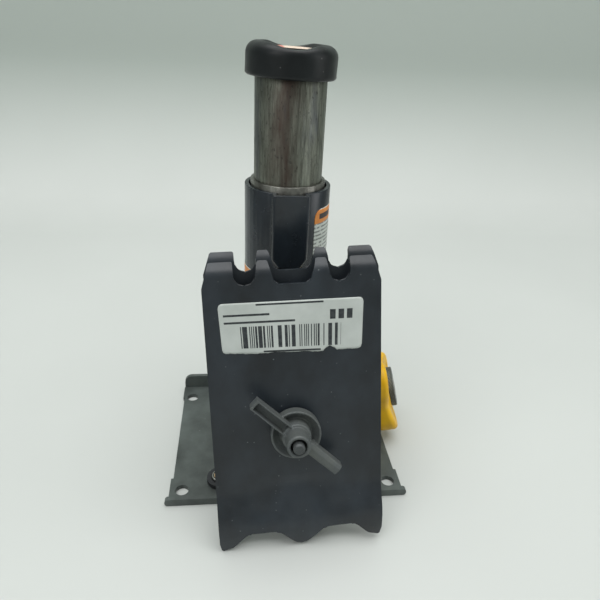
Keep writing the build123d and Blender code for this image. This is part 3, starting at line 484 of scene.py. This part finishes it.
def prism(outline, low, high, bevel=0.0):
    """A solid of an outline between two heights along Z, with bevelled rims."""
    shape = bmesh.new()
    lower = [shape.verts.new((p[0], p[1], low)) for p in outline]
    upper = [shape.verts.new((p[0], p[1], high)) for p in outline]
    shape.faces.new(lower[::-1])
    shape.faces.new(upper)
    count = len(outline)
    for i in range(count):
        j = (i + 1) % count
        shape.faces.new((lower[i], lower[j], upper[j], upper[i]))
    if bevel:
        rims = [e for e in shape.edges if abs(e.verts[0].co.z - e.verts[1].co.z) < 1e-6]
        bmesh.ops.bevel(shape, geom=rims, offset=bevel, segments=3, profile=0.5, affect="EDGES")
    return shape


def turned(profile, segments, radial=None):
    """A closed profile of (radius, height) turned about Z. radial(angle, radius, height) shifts it."""
    shape = bmesh.new()
    rings_and_painted_light = []
    for k in range(segments):
        angle = 2 * pi * k / segments
        ring = []
        for radius, height in profile:
            if radial:
                radius, height = radial(angle, radius, height)
            ring.append(shape.verts.new((radius * cos(angle), radius * sin(angle), height)))
        rings_and_painted_light.append(ring)
    count = len(profile)
    for k in range(segments):
        one, two = rings_and_painted_light[k], rings_and_painted_light[(k + 1) % segments]
        for i in range(count):
            j = (i + 1) % count
            shape.faces.new((one[i], two[i], two[j], one[j]))
    return shape


def smooth(t):
    """Smooth step from 0 to 1."""
    t = max(0.0, min(1.0, t))
    return t * t * (3 - 2 * t)


def bell(x, y, cx, cy, wx, wy):
    """A soft dome of height 1."""
    return exp(-(((x - cx) / wx) ** 2) - ((y - cy) / wy) ** 2)


# ---- Wheel blocks --------------------------------------------------------------------------------
LIP_ANGLE = radians(40)
LIP_R = 8.0
LIP_CORNER = 157.0
CORNER_UP = 149.2
FRONT_TOP, REAR_TOP = 161.7, 160.2
NOTCH_FLOOR, NOTCH_ACROSS, NOTCH_R, NOTCH_SQUARENESS = 149.4, 24.3, 5.6, 0.82
FOOT_LOW, ARCH_TOP = -0.3, 10.6
BULGE, BULGE_UP, BULGE_END, FOOT_CURL = 3.9, 16.0, 36.0, 0.4
RIM_BEVEL = 0.42


def foot_edge(across):
    """Height of the foot's edge: two arches between three teeth."""
    reach = abs(across)
    rise = smooth((42.6 - reach) / 14.6) if reach > 27 else smooth((reach - 0.6) / 13.4)
    return FOOT_LOW + (ARCH_TOP - FOOT_LOW) * rise


def block_outline(top):
    """The flat outline of a block, as (across, up), counter-clockwise."""
    n, r = NOTCH_ACROSS, NOTCH_R
    foot = [(a * 0.8, foot_edge(a * 0.8), 0) for a in range(-49, 50)]
    upper = [
        (44.8, FOOT_LOW, 0.8), (45.8, 5.5, 3), (BLOCK_HALF + 0.1, CORNER_UP, 1.5), (42.0, top, 1.0),
        (n + r + 0.1, top, 0.8), (n + r - 0.1, NOTCH_FLOOR + r + 1, 0),
    ]
    for k in range(17):
        c, d = cos(pi * k / 16), sin(pi * k / 16)
        side = 1 if c > 0 else -1
        across = n + side * (r - 0.2) * abs(c) ** NOTCH_SQUARENESS
        upper.append((across, NOTCH_FLOOR + r * (1 - d**NOTCH_SQUARENESS), 0))
    upper += [
        (n - r - 0.2, NOTCH_FLOOR + r + 2, 0), (n - r - 1.0, top, 0.8), (12.4, top, 0.8),
        (9.0, NOTCH_FLOOR + 0.2, 3.2),
    ]
    mirrored = [(-x, y, radius) for x, y, radius in upper[::-1]]
    return rounded(foot + upper + mirrored, 7)


def block_face(across, up):
    """How far the front face stands forward of the flat plate."""
    if up < BULGE_UP:
        height = BULGE - (BULGE + FOOT_CURL) * ((BULGE_UP - up) / 18.0) ** 1.7
    else:
        height = BULGE * smooth((BULGE_END - up) / (BULGE_END - BULGE_UP))
    dents = -1.3 * (bell(across, up, -22.5, 22, 8.0, 6.0) + bell(across, up, 22.5, 22, 8.0, 6.0))
    dents -= 1.1 * bell(across, up, -1.0, 20, 5.5, 6.0)
    dents += 0.9 * (bell(across, up, -10, 9, 4.5, 10) + bell(across, up, 10, 9, 4.5, 10))
    dents -= 0.6 * bell(across, up, -2, 38, 14, 3.4)
    waves = 0.10 * noise.noise(Vector((across / 26, up / 30, 0.3)))
    start = LIP_CORNER - LIP_R * tan(LIP_ANGLE / 2)
    if up > start:
        run = min(up - start, LIP_R * sin(LIP_ANGLE))
        height -= LIP_R - sqrt(LIP_R**2 - run**2)
        height -= max(0.0, up - start - run) * tan(LIP_ANGLE)
    return height + dents + waves


def wheel_block(name, place, top):
    """A pressed block, cut from its flat outline and bent to its face."""
    plate = prism(block_outline(top), -BLOCK_SHEET, 0, RIM_BEVEL)
    flat = new_piece(name, plate, Matrix.Identity(4), BLOCK_PAINT)
    middle = (SLOT_LOW + SLOT_HIGH) / 2
    tall = (SLOT_HIGH - SLOT_LOW) / 2 + SLOT_R
    corners = ((SLOT_R, -tall), (SLOT_R, tall), (-SLOT_R, tall), (-SLOT_R, -tall))
    slot = prism(rounded([(x, y, SLOT_R - 0.1) for x, y in corners], 12), -BLOCK_SHEET - 1, 1)
    slot_place = Matrix.Translation((0, STUD_UP + middle, 0))
    cutter = new_piece(name + "_slot", slot, slot_place, BLOCK_PAINT)
    cut = flat.modifiers.new("slot", "BOOLEAN")
    cut.object = cutter
    cut.solver = "EXACT"
    applied(flat)
    shape = bmesh.new()
    shape.from_mesh(flat.data)
    bpy.data.objects.remove(cutter)
    bpy.data.objects.remove(flat)
    shape.transform(Matrix.Scale(1 / MM, 4))
    foot = [v * 1.4 for v in range(32)]
    lip = [152 + v * 0.75 for v in range(13)]
    web = [50 + v * 9.0 for v in range(11)]
    cuts = [((0, 1, 0), up) for up in foot + lip + web]
    cuts += [((1, 0, 0), -45 + v * 2.25) for v in range(41)]
    for normal, offset in cuts:
        bmesh.ops.bisect_plane(
            shape,
            geom=shape.verts[:] + shape.edges[:] + shape.faces[:],
            plane_co=Vector(normal) * offset,
            plane_no=normal,
            dist=1e-5,
        )
    bmesh.ops.remove_doubles(shape, verts=shape.verts, dist=0.004)
    wear = shape.verts.layers.float.new("wear")
    step = 0.05
    for vert in shape.verts:
        across, up, depth = vert.co
        vert[wear] = 1.0 if -(RIM_BEVEL - 0.02) < depth < -0.015 else 0.0
        lean_a = (block_face(across + step, up) - block_face(across - step, up)) / (2 * step)
        lean_u = (block_face(across, up + step) - block_face(across, up - step)) / (2 * step)
        normal = Vector((-lean_a, -lean_u, 1)).normalized()
        vert.co = Vector((across, up, block_face(across, up))) + normal * depth
    block = new_piece(name, shape, place, BLOCK_PAINT)
    block.data.set_sharp_from_angle(angle=radians(42))
    return weighted(block)


stand_in(wheel_block("front_wheel_block", block_place, FRONT_TOP), "front_block", "front_block")
stand_in(wheel_block("rear_wheel_block", rear_place, REAR_TOP), "rear_block", "rear_block")

# ---- Stock label on the front block --------------------------------------------------------------
LABEL_CORNERS = {
    "left_top": (-38.5, 141.3), "right_top": (36.4, 140.7),
    "left_low": (-37.4, 114.1), "right_low": (35.1, 111.8),
}
LABEL_LONG, LABEL_R, TEAR_AT, TEAR_HALF = 75, 2.4, 57.5, 3.6


def stock_sheet():
    """A thin printed sheet with round upper corners and a torn, wavy lower edge."""
    shape = bmesh.new()
    print_map = shape.loops.layers.uv.new("print")
    corner = {k: Vector(v) for k, v in LABEL_CORNERS.items()}
    columns, rows = 150, 24
    grid, places = [], {}
    for i in range(columns + 1):
        u = i / columns
        low = corner["left_low"].lerp(corner["right_low"], u)
        high = corner["left_top"].lerp(corner["right_top"], u)
        along = u * LABEL_LONG
        inset = max(0.0, LABEL_R - min(along, LABEL_LONG - along))
        round_off = LABEL_R - sqrt(max(0.0, LABEL_R**2 - inset**2))
        wave = 0.75 * noise.noise(Vector((along / 13, 0.4, 0)))
        wave += 0.5 * noise.noise(Vector((along / 4.5, 3.1, 0)))
        ragged = 0.22 * noise.noise(Vector((along / 0.9, 7.7, 0)))
        tear = 2.9 * max(0.0, 1 - abs(along - TEAR_AT) / TEAR_HALF) ** 0.6
        start = (round_off + 0.7 + wave + ragged + tear) / (high - low).length
        end = 1 - round_off / (high - low).length
        column = []
        for j in range(rows + 1):
            v = start + (end - start) * j / rows
            spot = low.lerp(high, v)
            lift = 0.06 + 0.05 * noise.noise(Vector((spot.x / 9, spot.y / 9, 5)))
            lift += 0.35 * bell(u, v, 0.79, 0.05, 0.05, 0.10)
            vert = shape.verts.new((spot.x, spot.y, block_face(spot.x, spot.y) + lift))
            places[vert] = (u, v)
            column.append(vert)
        grid.append(column)
    for i in range(columns):
        for j in range(rows):
            shape.faces.new((grid[i][j], grid[i + 1][j], grid[i + 1][j + 1], grid[i][j + 1]))
    for face in shape.faces:
        for loop in face.loops:
            loop[print_map].uv = places[loop.vert]
    return shape


label = new_piece("stock_sheet", stock_sheet(), block_place, STICKER)
thick = label.modifiers.new("stock", "SOLIDIFY")
thick.thickness = 0.10 * MM
thick.offset = 1.0
stand_in(label, "front_block", "stock_label")

WRAP_R, WRAP_CORNER = 25.42, 5.5


def wrapped_sheet(middle, half, low, high):
    """A label wrapped round the column, with rounded corners."""
    shape = bmesh.new()
    columns, rows, grid = 72, 30, []
    wide = 2 * half * pi / 180 * WRAP_R
    for i in range(columns + 1):
        along = wide * i / columns
        inset = max(0.0, WRAP_CORNER - min(along, wide - along))
        trim = WRAP_CORNER - sqrt(max(0.0, WRAP_CORNER**2 - inset**2))
        angle = radians(middle - half) + along / WRAP_R
        column = []
        for j in range(rows + 1):
            up = low + trim + (high - low - 2 * trim) * j / rows
            column.append(shape.verts.new((WRAP_R * cos(angle), WRAP_R * sin(angle), up)))
        grid.append(column)
    for i in range(columns):
        for j in range(rows):
            shape.faces.new((grid[i][j], grid[i + 1][j], grid[i + 1][j + 1], grid[i][j + 1]))
    return shape


for name, span, finish in (
    ("right_label", (-23.5, 32.0, 112.0, 169.0), RIGHT_PRINT),
    ("left_label", (190.0, 40.0, 100.0, 128.5), LEFT_PRINT),
):
    wrap = new_piece(name + "_sheet", wrapped_sheet(*span), Matrix.Identity(4), finish)
    stock = wrap.modifiers.new("stock", "SOLIDIFY")
    stock.thickness = 0.16 * MM
    stock.offset = 1.0
    stand_in(wrap, "base", name)

# ---- Wing nut ------------------------------------------------------------------------------------
CUP_R, CUP_FOOT, CUP_RIM = 13.3, 1.6, 9.3
HUB_END, HUB_R, HUB_FOOT_R = 22.5, 6.1, 7.6
BORE_R, STUD_BORE_R = 4.2, 3.1
WING_FRONT, WING_BACK, WING_REACH, WING_HALF = 13.2, 7.0, 29.6, 3.15
WING_ANGLE = radians(-41)


def joined(shapes):
    """One bmesh holding several."""
    whole = bmesh.new()
    for shape in shapes:
        mesh = bpy.data.meshes.new("joining")
        shape.to_mesh(mesh)
        shape.free()
        whole.from_mesh(mesh)
        bpy.data.meshes.remove(mesh)
    return whole


def bar(section, start, end, taper=1.0):
    """A closed section in the YZ plane drawn out along X from start to end."""
    shape = bmesh.new()
    ends = []
    for x, scale in ((start, 1.0), (end, taper)):
        ends.append([shape.verts.new((x, y * scale, z)) for y, z in section])
    shape.faces.new(ends[0][::-1])
    shape.faces.new(ends[1])
    count = len(section)
    for i in range(count):
        j = (i + 1) % count
        shape.faces.new((ends[0][i], ends[0][j], ends[1][j], ends[1][i]))
    return shape


def wing_nut():
    """A cast wing nut: cup flange, long hub, one open channel wing and one flat ridged wing."""
    cup = turned(
        [
            (STUD_BORE_R, CUP_FOOT), (CUP_R - 2.0, CUP_FOOT), (CUP_R - 0.6, CUP_FOOT + 0.7),
            (CUP_R - 0.1, CUP_FOOT + 2.4), (CUP_R, CUP_RIM - 0.5), (CUP_R - 0.4, CUP_RIM),
            (CUP_R - 1.0, CUP_RIM), (CUP_R - 1.5, CUP_RIM - 0.7), (CUP_R - 2.6, CUP_RIM - 2.2),
            (CUP_R - 4.6, CUP_RIM - 3.9), (STUD_BORE_R, CUP_RIM - 4.3),
        ],
        96,
    )
    hub = turned(
        [
            (STUD_BORE_R, CUP_FOOT + 0.3), (HUB_FOOT_R + 0.6, CUP_FOOT + 0.3),
            (HUB_FOOT_R + 0.4, CUP_FOOT + 2.6), (HUB_FOOT_R, WING_FRONT - 1.4),
            (HUB_FOOT_R - 0.5, WING_FRONT - 0.8), (HUB_R + 0.1, WING_FRONT - 0.7),
            (HUB_R, HUB_END - 0.8), (HUB_R - 0.6, HUB_END), (BORE_R + 0.4, HUB_END),
            (BORE_R, HUB_END - 0.4), (BORE_R, HUB_END - 6.0), (STUD_BORE_R, HUB_END - 7.0),
        ],
        72,
    )
    h, wall, deep = WING_HALF, 0.75, 3.9
    channel = bar(
        [
            (-h, WING_BACK), (h, WING_BACK), (h, WING_FRONT), (h - wall, WING_FRONT),
            (h - wall - 0.2, WING_FRONT - deep), (-h + wall + 0.2, WING_FRONT - deep),
            (-h + wall, WING_FRONT), (-h, WING_FRONT),
        ],
        -HUB_R + 0.6, -WING_REACH, 0.93,
    )
    tip_section = [(-h, WING_BACK), (h, WING_BACK), (h, WING_FRONT), (-h, WING_FRONT)]
    tip = bar(tip_section, -WING_REACH + 1.3, -WING_REACH)
    bmesh.ops.scale(tip, vec=(1, 0.93, 1), verts=tip.verts)
    flat = bar(
        [
            (-h, WING_BACK), (h, WING_BACK), (h, WING_FRONT - 0.9), (h * 0.25, WING_FRONT + 0.2),
            (-h * 0.75, WING_FRONT - 0.3), (-h, WING_FRONT - 0.9),
        ],
        HUB_R - 0.6, WING_REACH, 0.95,
    )
    foot, head = CUP_FOOT + 0.5, WING_BACK + 1
    web_section = [(-2.0, foot), (2.0, foot), (2.3, head), (-2.3, head)]
    webs = [bar(web_section, side * (HUB_R - 1.0), side * (CUP_R - 1.0), 0.9) for side in (-1, 1)]
    return joined([cup, hub, channel, tip, flat] + webs)


nut = new_piece("wing_nut_casting", wing_nut(), Matrix.Rotation(WING_ANGLE, 4, "Z"), CAST_ZINC)
fuse = nut.modifiers.new("fuse", "REMESH")
fuse.mode = "VOXEL"
fuse.voxel_size = 0.24 * MM
fuse.use_smooth_shade = True
soften = nut.modifiers.new("soften", "SMOOTH")
soften.factor = 0.5
soften.iterations = 3
applied(nut)
nut.data.transform(Matrix.Scale(MM, 4) @ stud_place @ Matrix.Scale(1 / MM, 4))
nut.data.materials.clear()
nut.data.materials.append(CAST_ZINC)
stand_in(nut, "nut", "wing_nut")

# ---- Drive knob and collar -----------------------------------------------------------------------
KNOB_IN, KNOB_OUT, KNOB_R, KNOB_HUB_R, KNOB_HUB_IN = 67.5, 79.5, 20.0, 10.5, 60.5
KNOB_LOBES, LOBE_RISE, LOBE_TURN = 3, 10.6, radians(20)
SHAFT_R, HEAD_R, HEAD_T = 5.05, 8.05, 69.95
COLLAR_R, COLLAR_IN, COLLAR_OUT = 13.6, 79.55, 83.3
KNURLS = 30


def knob_profile():
    """Section of the knob, with a rounded rim and a shallow ring in its outer face."""
    profile = [(SHAFT_R, KNOB_HUB_IN), (KNOB_HUB_R - 0.6, KNOB_HUB_IN), (KNOB_HUB_R, KNOB_HUB_IN + 0.6)]
    profile += [(KNOB_HUB_R, KNOB_IN - 1.0), (KNOB_HUB_R + 1.0, KNOB_IN)]
    rim = 2.8
    for k in range(9):
        angle = -pi / 2 + pi / 2 * k / 8
        profile.append((KNOB_R - rim + rim * cos(angle), KNOB_IN + rim + rim * sin(angle)))
    for k in range(9):
        angle = pi / 2 * k / 8
        profile.append((KNOB_R - rim + rim * cos(angle), KNOB_OUT - rim + rim * sin(angle)))
    profile += [(KNOB_R - 3.1, KNOB_OUT), (KNOB_R - 3.5, KNOB_OUT - 1.0)]
    profile += [(COLLAR_R + 2.0, KNOB_OUT - 1.0), (COLLAR_R + 1.4, KNOB_OUT)]
    profile += [(HEAD_R, KNOB_OUT), (HEAD_R, HEAD_T), (SHAFT_R, HEAD_T)]
    return profile


def lobed(angle, radius, height):
    """Three round lobes, thicker at their ends. One points down and a little forward."""
    share = smooth((radius - COLLAR_R - 1.6) / 2.4)
    lobe = (1 - cos(KNOB_LOBES * (angle + LOBE_TURN))) / 2
    outer = smooth((height - KNOB_IN - 3) / (KNOB_OUT - KNOB_IN - 6))
    return radius + share * LOBE_RISE * lobe, height + share * outer * (3.2 * lobe - 1.8)


knob = new_piece("yellow_knob", turned(knob_profile(), 192, radial=lobed), drive_place, YELLOW)
knob.data.set_sharp_from_angle(angle=radians(50))
stand_in(weighted(knob), "drive", "drive_knob")


def knurl(angle, radius, height):
    """Diamond knurling on the collar's rim."""
    if radius < COLLAR_R - 0.1:
        return radius, height
    turn = angle * KNURLS / 2
    slant = (height - COLLAR_IN) * 1.9
    cut = abs(sin(turn + slant)) * abs(sin(turn - slant))
    return radius - 0.55 * (1 - cut**0.5), height


collar_profile = [(HEAD_R, COLLAR_IN), (COLLAR_R - 0.8, COLLAR_IN), (COLLAR_R - 0.2, COLLAR_IN + 0.3)]
collar_profile += [(COLLAR_R, COLLAR_IN + 0.5 + 2.75 * k / 12) for k in range(13)]
collar_profile += [(COLLAR_R - 0.2, COLLAR_OUT - 0.3), (COLLAR_R - 0.8, COLLAR_OUT)]
collar_profile += [(HEAD_R, COLLAR_OUT)]
collar_shape = turned(collar_profile, 480, radial=knurl)
collar = new_piece("knurled_collar", collar_shape, drive_place, WORN_STEEL)
collar.data.set_sharp_from_angle(angle=radians(50))
stand_in(weighted(collar), "drive", "drive_collar")

# ---- Saddle --------------------------------------------------------------------------------------
SADDLE_R, SADDLE_FOOT, SADDLE_TOP, SADDLE_TILT = 25.0, 237.7, 254.4, radians(2)
RAM_CLEAR_R, SADDLE_ROOF, DISH_FLOOR, POST_R = 20.9, 249.05, 250.6, 5.3
SHOULDER, DISH_SLOPE = 6.2, 6.8
VALLEY_R, VALLEY_UP, VALLEY_SOFT = 30.0, SADDLE_TOP + 27.4, 0.9
saddle_place = (
    Matrix.Translation((0, 0, SADDLE_ROOF))
    @ Matrix.Rotation(SADDLE_TILT, 4, "Y")
    @ Matrix.Translation((0, 0, -SADDLE_ROOF))
)


def saddle_profile():
    """Section of the saddle: skirt, rounded shoulder, dished top and the hollow under it."""
    profile = [(RAM_CLEAR_R, SADDLE_FOOT), (SADDLE_R - 0.7, SADDLE_FOOT)]
    profile += [(SADDLE_R, SADDLE_FOOT + 0.8 + k * 1.3) for k in range(8)]
    middle_r, middle_up = SADDLE_R - SHOULDER, SADDLE_TOP - SHOULDER
    for k in range(1, 13):
        angle = pi / 2 * k / 12
        profile.append((middle_r + SHOULDER * cos(angle), middle_up + SHOULDER * sin(angle)))
    for k in range(1, 13):
        t = k / 12
        fall = (SADDLE_TOP - DISH_FLOOR) * smooth(t)
        profile.append((middle_r - DISH_SLOPE * t, SADDLE_TOP - fall))
    profile += [(POST_R + 0.4, DISH_FLOOR), (POST_R, DISH_FLOOR - 0.3)]
    profile += [(POST_R, SADDLE_ROOF), (RAM_CLEAR_R, SADDLE_ROOF)]
    return profile


def soft_start(t):
    """0 below -1, t itself above 1, and a curve that joins them."""
    if t > 1:
        return t
    return (t + 1) ** 2 / 4 if t > -1 else 0.0


def saddle_mesh():
    """The turned saddle with its front-to-back valley pressed in and shallow dents."""
    shape = turned(saddle_profile(), 160)
    for vert in shape.verts:
        x, y, z = vert.co
        if z > SADDLE_TOP - 6 and abs(x) < VALLEY_R - 0.5:
            valley = VALLEY_UP - sqrt(VALLEY_R**2 - x * x)
            vert.co.z = z - VALLEY_SOFT * soft_start((z - valley) / VALLEY_SOFT)
        dent = 0.10 * noise.noise(Vector((x / 7, y / 7, z / 7)))
        if sqrt(x * x + y * y) > RAM_CLEAR_R + 1:
            vert.co.x -= dent * x / 24
            vert.co.y -= dent * y / 24
    return shape


saddle = new_piece("load_saddle", saddle_mesh(), saddle_place, SADDLE_PAINT)
saddle.data.set_sharp_from_angle(angle=radians(50))
stand_in(weighted(saddle), "saddle", "saddle")

DISH_STICKER_R, DISH_STICKER_LOW, DISH_STICKER_HIGH = 13.0, 252.15, 252.27
dish_section = [
    (0.3, DISH_STICKER_LOW), (DISH_STICKER_R, DISH_STICKER_LOW),
    (DISH_STICKER_R, DISH_STICKER_HIGH), (0.3, DISH_STICKER_HIGH),
]
dish = turned(dish_section, 72)
dish_sticker = new_piece("dish_sticker", dish, saddle_place, DISH_PRINT)
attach(dish_sticker, "saddle")

# ---- Rounded edges on the CAD pieces that keep their own shape -----------------------------------
EDGE_ROUNDING = {
    "base_plate": 0.5, "gear_case": 0.5, "outer_tube": 0.35, "guide_bush": 0.3, "ram_tube": 0.3,
    "block_bracket": 0.45, "bracket_rivets": 0.15, "case_screws": 0.25, "drive_shaft": 0.2,
    "saddle_rivet": 0.2, "flat_washer": 0.15, "block_stud": 0.2, "ram_nut": 0.2,
}
for name, width in EDGE_ROUNDING.items():
    weld = nodes[name].modifiers.new("weld", "WELD")
    weld.merge_threshold = 0.004 * MM
    soft = nodes[name].modifiers.new("edges", "BEVEL")
    soft.width = width * MM
    soft.segments = 2
    soft.limit_method = "ANGLE"
    soft.angle_limit = radians(32)
    soft.use_clamp_overlap = True
    soft.harden_normals = True

# ---- Floor, backdrop, lights and camera ----------------------------------------------------------
FLOOR_HALF, FLOOR_FRONT, FLOOR_BACK, COVE_R, WALL_TOP = 3.0, -3.0, 0.62, 0.22, 2.6


def backdrop():
    """A pale sweep: floor, a curved corner and a wall."""
    line = [(FLOOR_FRONT, 0.0), (FLOOR_BACK - COVE_R, 0.0)]
    for k in range(1, 17):
        angle = pi / 2 * k / 16
        line.append((FLOOR_BACK - COVE_R + COVE_R * sin(angle), COVE_R - COVE_R * cos(angle)))
    line.append((FLOOR_BACK, WALL_TOP))
    shape = bmesh.new()
    for x in (-FLOOR_HALF, FLOOR_HALF):
        for y, z in line:
            shape.verts.new((x, y, z))
    shape.verts.ensure_lookup_table()
    count = len(line)
    for i in range(count - 1):
        v = shape.verts
        shape.faces.new((v[i], v[i + 1], v[count + i + 1], v[count + i]))
    mesh = bpy.data.meshes.new("sweep")
    shape.to_mesh(mesh)
    shape.free()
    mesh.polygons.foreach_set("use_smooth", [True] * len(mesh.polygons))
    piece = bpy.data.objects.new("sweep", mesh)
    scene.collection.objects.link(piece)
    f = Finish("pale_board", Specular_IOR_Level=0.25)
    cloudy = f.ramp(f.noise(260, 2), (0.3, (0.562, 0.584, 0.562)), (0.7, (0.587, 0.609, 0.587)))
    split = f.node("ShaderNodeSeparateXYZ", Vector=f.object_place)
    wall = f.ramp(split.outputs["Z"], (0.02, 0.0), (0.20, 1.0))
    f.set("Base Color", f.mix(wall, cloudy, (0.385, 0.428, 0.396)))
    f.set("Roughness", 0.55)
    mesh.materials.append(f.material)


backdrop()


def soft_light(name, place, aim, size, power):
    """A rectangular soft box aimed at a point. Sizes and places are in metres."""
    lamp = bpy.data.lights.new(name, "AREA")
    lamp.shape = "RECTANGLE"
    lamp.size, lamp.size_y = size
    lamp.energy = power
    made = bpy.data.objects.new(name, lamp)
    made.location = place
    made.rotation_mode = "QUATERNION"
    made.rotation_quaternion = (Vector(aim) - Vector(place)).to_track_quat("-Z", "Y")
    scene.collection.objects.link(made)


soft_light("overhead", (0.0, -0.15, 1.5), (0, 0, 0.1), (1.8, 1.4), 25)
soft_light("front_left", (-1.1, -1.2, 1.0), (0, 0, 0.1), (0.9, 0.9), 5)
soft_light("right", (1.3, -0.55, 0.55), (0, 0, 0.17), (0.6, 0.9), 3)

world = bpy.data.worlds.new("studio")
world.use_nodes = True
sky = world.node_tree.nodes["Background"]
sky.inputs["Color"].default_value = (0.90, 0.96, 0.93, 1)
sky.inputs["Strength"].default_value = 0.33
scene.world = world
scene.view_settings.view_transform = "Standard"

CAMERA_AT = Vector((-28.69, -317.87, 265.95))
CAMERA_YAW, CAMERA_PITCH, CAMERA_ROLL = 0.12374, 0.47713, 0.04932
LENS, SENSOR = 32.66, 36.0
forward = Vector(
    (sin(CAMERA_YAW) * cos(CAMERA_PITCH), cos(CAMERA_YAW) * cos(CAMERA_PITCH), -sin(CAMERA_PITCH))
)
level = Vector((cos(CAMERA_YAW), -sin(CAMERA_YAW), 0))
upward = level.cross(forward)
right = cos(CAMERA_ROLL) * level + sin(CAMERA_ROLL) * upward
above = -sin(CAMERA_ROLL) * level + cos(CAMERA_ROLL) * upward
lens = bpy.data.cameras.new("camera")
lens.lens, lens.sensor_width = LENS, SENSOR
lens.clip_start = 0.01
camera = bpy.data.objects.new("camera", lens)
camera_turn = Matrix((right, above, -forward)).transposed().to_4x4()
camera.matrix_world = Matrix.Translation(CAMERA_AT * MM) @ camera_turn
scene.collection.objects.link(camera)
scene.camera = camera

bpy.context.view_layer.update()
